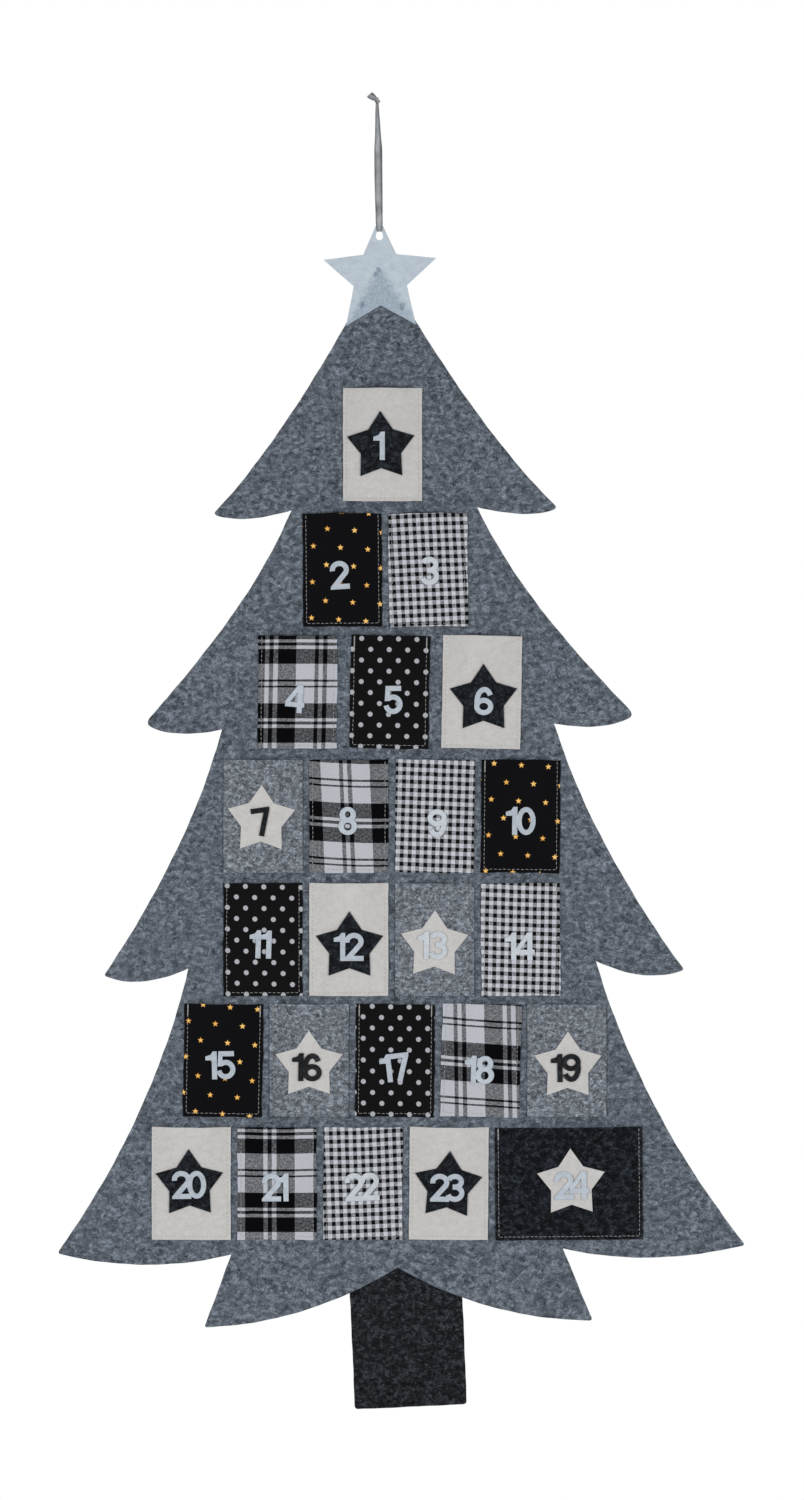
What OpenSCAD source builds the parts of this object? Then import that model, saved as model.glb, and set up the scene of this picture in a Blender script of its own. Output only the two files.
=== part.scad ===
// Felt advent calendar: a felt tree that hangs from a ribbon, with a star on its tip,
// a trunk behind its foot and twenty-four numbered pockets sewn on its front.
// Millimetres. +Z is up, the pockets face -Y, and the origin is where the ribbon's loop
// hangs on its hook.

/* [Hanging ribbon] */
// Length of the loop, from the hook down to its bend in the star's hole
loop_drop = 114; // [60:1:220]
// Width of the flat satin ribbon
ribbon_w = 6.2; // [3:0.1:8]
// Thickness of the ribbon
ribbon_t = 0.5; // [0.3:0.05:1]
// Radius of the knot that ties the two ends together
knot_r = 2.4; // [1.5:0.1:5]
// Length of the cut ends above the knot
tail_len = 9; // [4:0.5:30]

/* [Star on the tip] */
// Radius of the star at its points
topper_r = 52.5; // [35:0.5:80]
// Radius of the star at its inner corners
topper_inner_r = 24.8; // [15:0.2:32]
// Thickness of the star's felt
topper_t = 1; // [0.6:0.1:3]
// Diameter of the punched hole that the ribbon runs through
hole_d = 6.4; // [5.5:0.1:10]
// Diameter of the hole's upper end, which the ribbon has drawn out
hole_top_d = 4.8; // [4:0.1:5.4]
// Distance from the middle of the hole up to the middle of its upper end
hole_rise = 4.4; // [2:0.1:7]
// Distance from the star's top point to the middle of the hole
hole_from_point = 16.6; // [14:0.1:24]

/* [Tree] */
// Thickness of the tree's felt
tree_t = 3; // [1.5:0.1:6]
// Distance from the hole in the star down to the tree's hidden tip
tip_drop = 23.6; // [18:0.1:40]
// Height of the first tier, from the tree's tip to its branch ends
tier1_h = 219.5; // [180:0.5:260]
// Height of the second tier, from the branch ends above to its own
tier2_h = 183.5; // [150:0.5:230]
// Height of the third tier
tier3_h = 225; // [180:1:270]
// Height of the fourth tier
tier4_h = 245; // [200:1:300]
// Height of the skirt below the fourth tier
skirt_h = 66; // [40:1:110]
// Width of the first tier across its branch ends
tier1_span = 307; // [250:1:360]
// Width of the second tier across its branch ends
tier2_span = 434; // [370:1:500]
// Width of the third tier across its branch ends
tier3_span = 514; // [450:1:580]
// Width of the fourth tier across its branch ends
tier4_span = 609; // [540:1:680]
// Width of the skirt across its corners
skirt_span = 344; // [310:1:400]
// Width of the felt at the notch under the first tier
neck1_span = 164; // [150:1:200]
// Width of the felt at the notch under the second tier
neck2_span = 294; // [270:1:330]
// Width of the felt at the notch under the third tier
neck3_span = 361; // [330:1:420]
// Width of the felt at the notch under the fourth tier
neck4_span = 294; // [260:1:330]
// Height of the arch in the skirt's lower edge
arch_h = 50; // [20:1:60]

/* [Trunk] */
// Width of the trunk
trunk_w = 99.5; // [60:0.5:160]
// Thickness of the trunk's felt
trunk_t = 3; // [1.5:0.1:6]
// Length of trunk that shows below the middle of the skirt
trunk_show = 124; // [60:1:200]
// Length of trunk glued behind the tree
trunk_tuck = 30; // [15:1:80]
// Lean of the trunk, foot to the right, in degrees
trunk_lean = 1.5; // [-4:0.1:4]
// Radius of the trunk's lower corners
trunk_corner_r = 3; // [1:0.5:20]

/* [Pockets] */
// Width of a pocket
pocket_w = 70; // [60:0.5:74]
// Width of the last pocket, which is wider
wide_pocket_w = 130.5; // [100:0.5:140]
// Height of a pocket
pocket_h = 100; // [80:0.5:106]
// Gap between neighbouring pockets in a row
pocket_gap = 6; // [2:0.5:8]
// Gap between two rows of pockets
row_gap = 9; // [4:0.5:14]
// Distance from the tree's tip to the middle of the first row
first_row = 160.5; // [150:0.5:180]
// Tilt of the rows against the tree, clockwise, in degrees
row_tilt = 1; // [-2:0.1:2]
// How far the front of a pocket stands off the tree at the middle of its mouth
pocket_bow = 8; // [6:0.5:20]
// Thickness of the printed and woven cotton
cotton_t = 0.8; // [0.4:0.1:1.5]
// Thickness of the pocket felt
pocket_felt_t = 1.2; // [0.6:0.1:3]

/* [Seams] */
// Distance of the seam from the edge of a pocket
stitch_inset = 3; // [2:0.1:6]
// Thickness of the sewing thread
thread_d = 0.5; // [0.3:0.05:1]

/* [Stars and numbers] */
// Radius of a pocket's star at its points
star_r = 31.4; // [20:0.1:31.6]
// Radius of a pocket's star at its inner corners
star_inner_r = 18.8; // [10:0.2:24]
// Thickness of the star's felt
star_t = 1.4; // [0.5:0.1:2]
// Height of the numbers
digit_h = 25; // [16:0.5:34]
// Width of a digit
digit_w = 17; // [12:0.5:22]
// Width of the strokes of a digit
digit_stroke = 4.6; // [3:0.1:5]
// Thickness of the numbers' felt
digit_t = 1.5; // [0.5:0.1:2]

/* [Hidden] */
POCKETS = 24;

// Colours of the cloths
TREE_GREY = "#66707c";
POCKET_GREY = "#727b86";
CREAM = "#cdc8c2";
CHARCOAL = "#22262b";
PALE_BLUE = "#c0cbd7";
BLACK = "#141416";
SATIN_GREY = "#858b90";
THREAD_GREY = "#c9c6bf";

// Running clearance between the ribbon and the star's hole
clearance = 0.35;
// Gap that the ribbon's bend leaves over the pivot
bight_gap = 0.1;
// How far a cutter stands out past the sheet it cuts
cut_past = 1;
// Flat cloth between the seam and the bowed part of a pocket
flat_past_seam = 1;
flange = stitch_inset + flat_past_seam;
// Steps of a curved edge, and of a pocket's bowed front across and up
edge_steps = 8;
bow_steps_x = 8;
bow_steps_z = 5;
// Steps of a digit's curves
digit_steps = 10;
circle_fn = 48;

// Planes across the depth: the star's middle is at y = 0
face_y = topper_t / 2;
tree_back_y = face_y + tree_t;
strand_y = topper_t / 2 + clearance + ribbon_t / 2;

// Heights, from the hook down
pivot_z = -loop_drop;
hole_z = pivot_z - hole_rise;
tip_z = hole_z - tip_drop;
tier_h = [tier1_h, tier2_h, tier3_h, tier4_h];
end_z = [for (k = [0:3]) tip_z - total(tier_h, k + 1)];
skirt_z = end_z[3] - skirt_h;

tier_span = [tier1_span, tier2_span, tier3_span, tier4_span];
neck_span = [neck1_span, neck2_span, neck3_span, neck4_span];
// Each notch lies a little above or below the branch ends over it
neck_lift = [2.5, -7, 7, -2];
// Cut by hand: how far each pair of branch ends is off to the right, and the right one low
end_slip = [1, 1.5, 1.5, 3.5];
end_drop = [0, 0, 2, 1.5];
// How far the branches' sides are drawn in, and where along them
side_sag = [17, 19, 20, 27];
side_bend_at = [0.7, 0.4, 0.45, 0.47];
// How far the branches' undersides are drawn down, and where along them
under_sag = [11, 14, 16, 19];
under_bend_at = [0.35, 0.3, 0.4, 0.5];
// How far the skirt's arch is drawn down, and how far each corner is rounded
arch_sag = 24;
end_round = [8, 8, 3, 3];
skirt_round = 3;

tree_tip = [0, tip_z];
skirt_corner = [skirt_span / 2, skirt_z];
skirt_peak = [0, skirt_z + arch_h];

// The trunk's middle is a little right of the tree's
trunk_shift = 6.5;

// Rows of pockets: how many, extra gap between them, and the sewer's slips across and down
row_count = [1, 2, 3, 4, 4, 5, 5];
row_extra_gap = [0, 0, 5.5, 0, 0, 0, 0];
row_slip_x = [-0.5, 0, 2, 2, 0, 1, 1];
row_slip_z = [0, 2, 1, 2, 2, 0, 0];

// One line for each pocket: cloth, own tilt, the number's place and tilt on the pocket and,
// where it has one, the star's place and tilt. Tilts are counter-clockwise, in degrees.
pocket_list = [
    ["cream", 0, [-3, -1.5], 0, [-1.5, -2.3], 1],
    ["starry", 0.5, [-2.4, -4.6], 3],
    ["gingham", 0.5, [1, -1], 0],
    ["plaid", -0.5, [-2, -6], -4],
    ["dotted", -1, [3, -7], 2],
    ["cream", -1, [2, -8], -2, [1.6, -6.6], 1],
    ["grey", 0, [-1.2, -4.8], 8, [-1.4, -3.4], -1],
    ["plaid", 0, [-1, -4], 0],
    ["gingham", -0.5, [2, -6], 0],
    ["starry", -0.5, [0, -4], 0],
    ["dotted", 0, [-2, -4], -2],
    ["cream", 0, [0, -6.2], 0, [0.6, -6.4], 0],
    ["grey", 0, [-2, -5], -1, [-0.2, -5], -1],
    ["gingham", 0.5, [-1, -6], 0],
    ["starry", -1, [-2.2, -4], 2],
    ["grey", 0, [-1.8, -5.6], -1, [0, -4.2], 0],
    ["dotted", -0.5, [0, -6], 7],
    ["plaid", -1.5, [-1, -8], 0],
    ["grey", 0, [-1, -6.2], 1, [0.8, -5.2], 0],
    ["cream", 0, [-1.6, -0.6], 1, [-1.5, -0.4], 1],
    ["plaid", 0, [-1.5, -3], 0],
    ["gingham", -0.5, [-0.8, -2.5], 3],
    ["cream", -0.5, [-1.4, -3.2], 0, [-0.8, -2], -3],
    ["charcoal", 0.5, [2, -1], 1, [1.8, 0.4], 1]
];
// Columns of the list
CLOTH = 0;
TILT = 1;
NUMBER_AT = 2;
NUMBER_TILT = 3;
STAR_AT = 4;
STAR_TILT = 5;

// The ribbon's front strand from the knot to the hole: share of the loop's drop, place across
// and share of the ribbon's width. The back strand is its mirror image.
strand_route = [
    [0, 0, 0.4],
    [0.08, 0, 0.55],
    [0.18, 0.2, 0.7],
    [0.3, 0.3, 0.9],
    [0.45, 0.2, 1],
    [0.6, 0, 1],
    [0.75, 0, 1],
    [0.955, 0, 1]
];
// Share of the strands' spacing that is left where they enter the knot
knot_squeeze = 0.5;
bight_steps = 8;

// Digits that start a two-digit number run into the next one by this much
one_lap = 0.8;
two_lap = 3.6;
// Share of a digit's width that the numeral one takes
one_share = 0.6;

function mix(a, b, t) = a + (b - a) * t;
function total(list, end) = end <= 0 ? 0 : list[end - 1] + total(list, end - 1);
function node_name(word, n) = str(word, "_", n < 10 ? "0" : "", n);

// Curves

// A point of the quadratic curve from a to b that leans towards c, and a stretch of that curve
// without its last point
function on_curve(a, c, b, t) = (1 - t) * (1 - t) * a + 2 * t * (1 - t) * c + t * t * b;
function curve(a, c, b, from = 0, to = 1) = [
    for (k = [0:edge_steps - 1]) on_curve(a, c, b, mix(from, to, k / edge_steps))
];
// The point that a curve from a to b leans towards: off the chord by the sag
function lean_point(a, b, sag, at = 0.5) =
    let (d = b - a)
        mix(a, b, at) + sag * [d[1], -d[0]] / norm(d);
// Two curves that meet at a rounded corner: in from a to the corner, and out to b
function cornered(a, side, corner, under, b, radius) =
    let (
        stop = 1 - radius / norm(corner - a),
        start = radius / norm(b - corner),
        p = on_curve(a, side, corner, stop),
        q = on_curve(corner, under, b, start)
    )
        concat(
            curve(a, side, corner, 0, stop),
            [for (k = [0:3]) on_curve(p, corner, q, k / 4)],
            curve(corner, under, b, start, 1)
        );

// One half of the tree's edge, from its tip to the skirt's arch, with x outwards from the middle.
// The side is 1 on the right and -1 on the left.
function branch_end(k, side) = [tier_span[k] / 2 + side * end_slip[k], end_z[k] - side * end_drop[k]];
function neck(k) = [neck_span[k] / 2, end_z[k] + neck_lift[k]];
function tier_edge(k, side) =
    let (
        above = k == 0 ? tree_tip : neck(k - 1),
        end = branch_end(k, side),
        outer = lean_point(above, end, side_sag[k], side_bend_at[k]),
        under = lean_point(end, neck(k), -under_sag[k], under_bend_at[k])
    )
        cornered(above, outer, end, under, neck(k), end_round[k]);
function skirt_edge() =
    cornered(
        neck(3),
        mix(neck(3), skirt_corner, 0.5),
        skirt_corner,
        lean_point(skirt_corner, skirt_peak, -arch_sag),
        skirt_peak,
        skirt_round
    );
function half_edge(side) = concat([for (k = [0:3]) each tier_edge(k, side)], skirt_edge());
function mirrored(points) = [for (k = [len(points) - 1:-1:1]) [-points[k][0], points[k][1]]];
tree_edge = concat(half_edge(1), [skirt_peak], mirrored(half_edge(-1)));

// A five-pointed star with its first point up
function star_edge(r, inner_r) = [
    for (k = [0:9])
        let (a = 90 + 36 * k, radius = k % 2 == 0 ? r : inner_r)
            radius * [cos(a), sin(a)]
];

// Where each pocket lies

function row_of(n, row = 0) =
    n <= total(row_count, row + 1) ? row : row_of(n, row + 1);
function width_of(n) = n == POCKETS ? wide_pocket_w : pocket_w;
function cloth_of(n) = pocket_list[n - 1][CLOTH];
function is_cotton(n) = len([for (c = ["starry", "gingham", "plaid", "dotted"]) if (c == cloth_of(n)) c]) > 0;
function cloth_t(n) = is_cotton(n) ? cotton_t : pocket_felt_t;
function has_star(n) = len(pocket_list[n - 1]) > STAR_AT;
function gap_in(row) = pocket_gap + row_extra_gap[row];
function row_width(row) =
    let (first = total(row_count, row) + 1, last = total(row_count, row + 1))
        total([for (n = [first:last]) width_of(n)], row_count[row]) + gap_in(row) * (row_count[row] - 1);
// Distance of a pocket's middle from its row's left end
function along_row(n) =
    let (row = row_of(n), first = total(row_count, row) + 1, before = n - first)
        before * (pocket_w + gap_in(row)) + width_of(n) / 2;
function pocket_x(n) =
    let (row = row_of(n))
        along_row(n) - row_width(row) / 2 + row_slip_x[row];
function pocket_z(n) =
    let (row = row_of(n))
        tip_z - first_row - row * (pocket_h + row_gap) - row_slip_z[row];
// Half of the height above and below a pocket's middle
half_h = pocket_h / 2;

// Puts what is drawn flat on the tree's face onto pocket n, with the pocket's middle at 0
module on_pocket(n)
    translate([0, face_y, pocket_z(n)])
        rotate([0, row_tilt, 0])
            translate([pocket_x(n), 0, 0])
                rotate([0, -pocket_list[n - 1][TILT], 0])
                    children();

// Stands an outline drawn in x and y up against the tree's face, with its thickness to the front
module upright(depth, from = 0)
    translate([0, -from, 0])
        rotate([90, 0, 0])
            linear_extrude(height = depth)
                children();

// Cloth that stands off the tree

function lines_x(w) = concat(
    [-w / 2],
    [for (k = [0:bow_steps_x]) mix(-w / 2 + flange, w / 2 - flange, k / bow_steps_x)],
    [w / 2]
);
lines_z = concat(
    [-half_h],
    [for (k = [0:bow_steps_z]) mix(-half_h + flange, half_h, k / bow_steps_z)]
);
// How far the back of the cloth stands off the tree: flat along the seams, fullest at the mouth
function bow_at(x, z, w) =
    let (
        s = max(0, min(1, (x + w / 2 - flange) / (w - 2 * flange))),
        t = max(0, min(1, (z + half_h - flange) / (pocket_h - flange)))
    )
        pocket_bow * sin(180 * s) * sin(90 * t);

// Grid points of one layer of cloth, then the triangles that close two such layers into a solid
function layer_points(xs, zs, w, off) = [
    for (z = zs) for (x = xs) [x, -bow_at(x, z, w) - off, z]
];
function quad(a, b, c, d) = [[a, b, c], [a, c, d]];
function grid_faces(nx, nz) =
    let (row = nx + 1, front = row * (nz + 1))
        [
            for (j = [0:nz - 1]) for (i = [0:nx - 1])
                let (a = j * row + i)
                    each concat(
                        quad(front + a, front + a + row, front + a + row + 1, front + a + 1),
                        quad(a, a + 1, a + row + 1, a + row)
                    ),
            for (i = [0:nx - 1])
                let (a = i, b = nz * row + i)
                    each concat(
                        quad(front + a, front + a + 1, a + 1, a),
                        quad(front + b + 1, front + b, b, b + 1)
                    ),
            for (j = [0:nz - 1])
                let (a = j * row, b = j * row + nx)
                    each concat(
                        quad(front + a + row, front + a, a, a + row),
                        quad(front + b, front + b + row, b + row, b)
                    )
        ];
// A layer of cloth on pocket n between two distances from the pocket's own back
module cloth_layer(xs, zs, w, near, far)
    polyhedron(
        points = concat(layer_points(xs, zs, w, near), layer_points(xs, zs, w, far)),
        faces = grid_faces(len(xs) - 1, len(zs) - 1)
    );

// The grid lines that reach past a stretch from lo to hi
function spanning(lines, lo, hi) = [
    for (k = [0:len(lines) - 1])
        let (
            before = lines[max(0, k - 1)],
            after = lines[min(len(lines) - 1, k + 1)]
        )
            if (after > lo && before < hi) lines[k]
];
// A felt cut-out glued on pocket n: the outline given, as a layer that follows the bowed cloth
module applique(n, at, tilt, half_w, half_tall, near, thick) {
    w = width_of(n);
    xs = spanning(lines_x(w), at[0] - half_w, at[0] + half_w);
    zs = spanning(lines_z, at[1] - half_tall, at[1] + half_tall);
    on_pocket(n)
        intersection() {
            cloth_layer(xs, zs, w, near, near + thick);
            upright(pocket_bow + near + thick + 1)
                translate(at)
                    rotate(tilt)
                        children();
        }
}

// Digits, in a box from 0 to digit_w and 0 to digit_h

half_stroke = digit_stroke / 2;
// Heights of the middle line of a digit's top, waist and foot strokes
top_line = digit_h - half_stroke;
waist_line = digit_h * 0.53;
foot_line = half_stroke;
mid_x = digit_w / 2;
bowl_rx = mid_x - half_stroke;
one_w = digit_w * one_share;

function arc_path(c, r, from, to) = [
    for (k = [0:digit_steps])
        let (a = mix(from, to, k / digit_steps))
            c + [r[0] * cos(a), r[1] * sin(a)]
];
function ellipse_path(c, r) = [
    for (k = [0:2 * digit_steps - 1])
        let (a = 180 * k / digit_steps)
            c + [r[0] * cos(a), r[1] * sin(a)]
];
// The edge of a stroke drawn along a path
function stroke_edge(path) =
    let (
        last = len(path) - 1,
        side = [
            for (k = [0:last])
                let (d = path[min(k + 1, last)] - path[max(k - 1, 0)])
                    half_stroke * [-d[1], d[0]] / norm(d)
        ]
    )
        concat(
            [for (k = [0:last]) path[k] - side[k]],
            [for (k = [last:-1:0]) path[k] + side[k]]
        );
module stroke(path) polygon(stroke_edge(path));
module ring(c, r)
    difference() {
        polygon(ellipse_path(c, r + half_stroke * [1, 1]));
        polygon(ellipse_path(c, r - half_stroke * [1, 1]));
    }
module bar(from, to)
    translate(from)
        square(to - from);

module digit_0() ring([mid_x, digit_h / 2], [bowl_rx, digit_h / 2 - half_stroke]);
module digit_1() {
    stem_x = one_w - digit_stroke;
    flag_z = digit_h * 0.68;
    polygon([
        [stem_x, 0],
        [one_w, 0],
        [one_w, digit_h],
        [stem_x + 1, digit_h],
        [stem_x - 1, digit_h * 0.88],
        [0, digit_h * 0.82],
        [0, flag_z],
        [stem_x, flag_z]
    ]);
}
module digit_2() {
    rz = digit_h * 0.22;
    c = [mid_x, top_line - rz];
    stroke(concat(arc_path(c, [bowl_rx, rz], 190, -30), [[half_stroke * 1.3, foot_line]]));
    bar([0, 0], [digit_w, digit_stroke]);
}
module digit_3() {
    high = (top_line - waist_line) / 2;
    low = (waist_line - foot_line) / 2;
    stroke(arc_path([mid_x, waist_line + high], [bowl_rx * 0.92, high], 160, -90));
    stroke(arc_path([mid_x, foot_line + low], [bowl_rx, low], 90, -165));
    bar([mid_x - 2, waist_line - half_stroke], [mid_x + 1, waist_line + half_stroke]);
}
module digit_4() {
    stem_x = digit_w * 0.62;
    low = digit_h * 0.21;
    high = low + digit_stroke * 0.95;
    difference() {
        polygon([
            [stem_x, 0],
            [stem_x + digit_stroke, 0],
            [stem_x + digit_stroke, low],
            [digit_w, low],
            [digit_w, high],
            [stem_x + digit_stroke, high],
            [stem_x + digit_stroke, digit_h],
            [stem_x, digit_h],
            [0, high + 0.5],
            [0, low],
            [stem_x, low]
        ]);
        polygon([
            [stem_x, high],
            [stem_x, digit_h * 0.74],
            [digit_w * 0.26, high]
        ]);
    }
}
module digit_5() {
    left = digit_w * 0.13;
    crown = digit_h * 0.64;
    low = (crown - half_stroke - foot_line) / 2;
    bar([left + 1, digit_h - digit_stroke], [digit_w * 0.94, digit_h]);
    polygon([
        [left, digit_h * 0.42],
        [left + digit_stroke, digit_h * 0.47],
        [left + digit_stroke + 0.8, digit_h],
        [left + 1, digit_h]
    ]);
    stroke(arc_path([mid_x, foot_line + low], [bowl_rx, low], 140, -165));
}
module digit_6() {
    low = digit_h * 0.31;
    ring([mid_x, low], [bowl_rx, low - half_stroke]);
    stroke(arc_path([mid_x, digit_h / 2], [bowl_rx, digit_h / 2 - half_stroke], 195, 32));
}
module digit_7() {
    foot = [digit_w * 0.36, 0];
    bend = [digit_w * 0.5, digit_h * 0.5];
    start = [digit_w - half_stroke, top_line];
    bar([0, digit_h - digit_stroke], [digit_w, digit_h]);
    stroke(concat(curve(start, bend, foot), [foot]));
}
module digit_8() {
    high = (top_line - waist_line) / 2;
    low = (waist_line - foot_line) / 2;
    ring([mid_x, waist_line + high], [bowl_rx * 0.88, high]);
    ring([mid_x, foot_line + low], [bowl_rx, low]);
}
module digit_9()
    translate([digit_w, digit_h])
        rotate(180)
            digit_6();
module digit(d) {
    if (d == 0) digit_0();
    if (d == 1) digit_1();
    if (d == 2) digit_2();
    if (d == 3) digit_3();
    if (d == 4) digit_4();
    if (d == 5) digit_5();
    if (d == 6) digit_6();
    if (d == 7) digit_7();
    if (d == 8) digit_8();
    if (d == 9) digit_9();
}
function digit_width(d) = d == 1 ? one_w : digit_w;
function tens_of(n) = floor(n / 10);
// How far the second digit starts to the right of the first
function advance(n) = tens_of(n) == 0 ? 0 : tens_of(n) == 1 ? one_w - one_lap : digit_w - two_lap;
function number_width(n) = advance(n) + digit_width(n % 10);
// A number cut in one piece, with its middle at 0
module number_outline(n)
    translate([-number_width(n) / 2, -digit_h / 2]) {
        if (tens_of(n) > 0) digit(tens_of(n));
        translate([advance(n), 0])
            digit(n % 10);
    }

// Sub-parts

module tree_panel()
    color(TREE_GREY)
        translate([0, tree_back_y, 0])
            upright(tree_t)
                polygon(tree_edge);

// Each lower corner of the trunk is a quarter circle
function quarter(c, r, from) = [
    for (k = [0:edge_steps])
        let (a = from + 90 * k / edge_steps)
            c + r * [cos(a), sin(a)]
];
function trunk_edge(top, foot, half, r) = concat(
    [[-half, top]],
    quarter([-half + r, foot + r], r, 180),
    quarter([half - r, foot + r], r, 270),
    [[half, top]]
);
module trunk()
    color(CHARCOAL)
        translate([trunk_shift, tree_back_y + trunk_t, skirt_peak[1]])
            rotate([0, -trunk_lean, 0])
                upright(trunk_t)
                    polygon(trunk_edge(trunk_tuck, -trunk_show, trunk_w / 2, trunk_corner_r));

// The hole is round below and drawn out to a narrower round end above. Between the two circles
// its sides run a little inside the lines that touch both, so that they cross the circles.
side_bite = 0.2;
hole_taper = asin((hole_d - hole_top_d) / 2 / hole_rise);
hole_side = [cos(hole_taper), sin(hole_taper)];
function mirror_x(p) = [-p[0], p[1]];
module hole_cut() {
    low = (hole_d / 2 - side_bite) * hole_side;
    high = [0, hole_rise] + (hole_top_d / 2 - side_bite) * hole_side;
    depth = topper_t + 2 * cut_past;
    rotate([90, 0, 0]) {
        cylinder(d = hole_d, h = depth, $fn = circle_fn);
        translate([0, hole_rise, 0])
            cylinder(d = hole_top_d, h = depth, $fn = circle_fn);
        linear_extrude(depth)
            polygon([low, high, mirror_x(high), mirror_x(low)]);
    }
}
module star_topper()
    color(PALE_BLUE)
        translate([0, topper_t / 2, hole_z])
            difference() {
                upright(topper_t)
                    translate([0, hole_from_point - topper_r])
                        polygon(star_edge(topper_r, topper_inner_r));
                translate([0, cut_past, 0])
                    hole_cut();
            }

// The ribbon is swept with a flat section of eight corners. Where it turns under the star's
// point it is gathered to fit the hole.
bight_r = strand_y;
bight_top = bight_r + bight_gap;
bight_inner = bight_r - ribbon_t / 2;
bight_corner_z = bight_top - sqrt(bight_inner * bight_inner - topper_t * topper_t / 4);
bight_room = hole_top_d / 2 - clearance;
bight_w = min(ribbon_w, 2 * sqrt(bight_room * bight_room - bight_corner_z * bight_corner_z));
function spacing_at(share) = mix(knot_squeeze, 1, min(1, share * 4)) * strand_y;
// Stations: place in x, y and z, width, and the direction across the thickness in y and z
front_stations = [
    for (s = strand_route)
        let (z = pivot_z + bight_top + (1 - s[0]) * (loop_drop - bight_top))
            [[s[1], -spacing_at(s[0]), z], ribbon_w * s[2], [-1, 0]]
];
bight_stations = [
    for (k = [0:bight_steps])
        let (a = 180 + 180 * k / bight_steps)
            [[0, bight_r * cos(a), pivot_z + bight_top + bight_r * sin(a)], bight_w, [cos(a), sin(a)]]
];
back_stations = [
    for (k = [len(front_stations) - 1:-1:0])
        let (s = front_stations[k])
            [[s[0][0], -s[0][1], s[0][2]], s[1], [1, 0]]
];
ribbon_stations = concat(front_stations, bight_stations, back_stations);
section_across = [-1, -0.9, 0.9, 1, 1, 0.9, -0.9, -1];
section_through = [0.5, 1, 1, 0.5, -0.5, -1, -1, -0.5];
SECTION = len(section_across);
ribbon_points = [
    for (s = ribbon_stations) for (k = [0:SECTION - 1])
        s[0] + [
            section_across[k] * s[1] / 2,
            section_through[k] * ribbon_t / 2 * s[2][0],
            section_through[k] * ribbon_t / 2 * s[2][1]
        ]
];
ribbon_faces = [
    for (r = [0:len(ribbon_stations) - 2]) for (k = [0:SECTION - 1])
        let (a = r * SECTION + k, b = r * SECTION + (k + 1) % SECTION)
            each quad(a, a + SECTION, b + SECTION, b),
    for (k = [1:SECTION - 2])
        [0, k, k + 1],
    let (end = (len(ribbon_stations) - 1) * SECTION)
        for (k = [1:SECTION - 2])
            [end, end + k + 1, end + k]
];
module hanging_ribbon()
    color(SATIN_GREY)
        polyhedron(points = ribbon_points, faces = ribbon_faces);

// The knot is a lump with one turn of ribbon round it, and the two cut ends leave it together
knot_z = knot_r * 0.9;
tail_angle = 147;
tail_t = 2 * ribbon_t;
wrap_r = knot_r * 0.42;
module ribbon_knot()
    color(SATIN_GREY)
        translate([0, 0, knot_z]) {
            sphere(r = knot_r, $fn = circle_fn);
            rotate([0, 55, 0])
                rotate_extrude($fn = circle_fn)
                    translate([knot_r * 0.75, 0])
                        circle(r = wrap_r, $fn = circle_fn);
            translate([0, tail_t / 2, 0])
                upright(tail_t)
                    rotate(tail_angle)
                        polygon([
                            [0, -ribbon_w * 0.2],
                            [tail_len, -ribbon_w * 0.5],
                            [tail_len - 1, ribbon_w * 0.5],
                            [0, ribbon_w * 0.2]
                        ]);
        }

function cloth_colour(n) =
    let (c = cloth_of(n))
        c == "cream" ? CREAM : c == "grey" ? POCKET_GREY : c == "charcoal" ? CHARCOAL : BLACK;
module pocket(n) {
    w = width_of(n);
    color(cloth_colour(n))
        on_pocket(n)
            cloth_layer(lines_x(w), lines_z, w, 0, cloth_t(n));
}

module star(n) {
    line = pocket_list[n - 1];
    applique(n, line[STAR_AT], line[STAR_TILT], star_r, star_r, cloth_t(n), star_t)
        polygon(star_edge(star_r, star_inner_r));
}
module charcoal_stars()
    color(CHARCOAL)
        for (n = [1:POCKETS])
            if (has_star(n) && cloth_of(n) == "cream") star(n);
module cream_stars()
    color(CREAM)
        for (n = [1:POCKETS])
            if (has_star(n) && cloth_of(n) != "cream") star(n);

// Numbers on grey felt are dark, except the one that matches the wide pocket's
function number_colour(n) = cloth_of(n) == "grey" && n != 13 ? CHARCOAL : PALE_BLUE;
module number(n) {
    line = pocket_list[n - 1];
    reach = norm([number_width(n), digit_h]) / 2;
    near = cloth_t(n) + (has_star(n) ? star_t : 0);
    color(number_colour(n))
        applique(n, line[NUMBER_AT], line[NUMBER_TILT], reach, reach, near, digit_t)
            number_outline(n);
}

// One line of thread runs down, along and up each pocket, on the flat cloth near its edge
module seam(n) {
    outer = width_of(n) / 2 - stitch_inset + thread_d / 2;
    inner = outer - thread_d;
    low = -half_h + stitch_inset - thread_d / 2;
    on_pocket(n)
        upright(thread_d, cloth_t(n))
            polygon([
                [-outer, half_h],
                [-outer, low],
                [outer, low],
                [outer, half_h],
                [inner, half_h],
                [inner, low + thread_d],
                [-inner, low + thread_d],
                [-inner, half_h]
            ]);
}
module pocket_seams()
    color(THREAD_GREY)
        for (n = [1:POCKETS]) seam(n);

tree_panel();
trunk();
star_topper();
hanging_ribbon();
ribbon_knot();
pocket_seams();
charcoal_stars();
cream_stars();
for (n = [1:POCKETS]) pocket(n);
for (n = [1:POCKETS]) number(n);
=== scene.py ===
"""Felt advent calendar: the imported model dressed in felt, cotton, satin and thread.

Every surface is worked out with numpy as whole arrays. Lengths are in millimetres until a
piece is placed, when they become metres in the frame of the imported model: +Z is up, the
pockets face -Y and the origin is where the ribbon's loop hangs on its hook.
"""
import logging
import math
from dataclasses import dataclass, field
from enum import Enum
from typing import Callable, Optional, Sequence, Union

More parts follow.
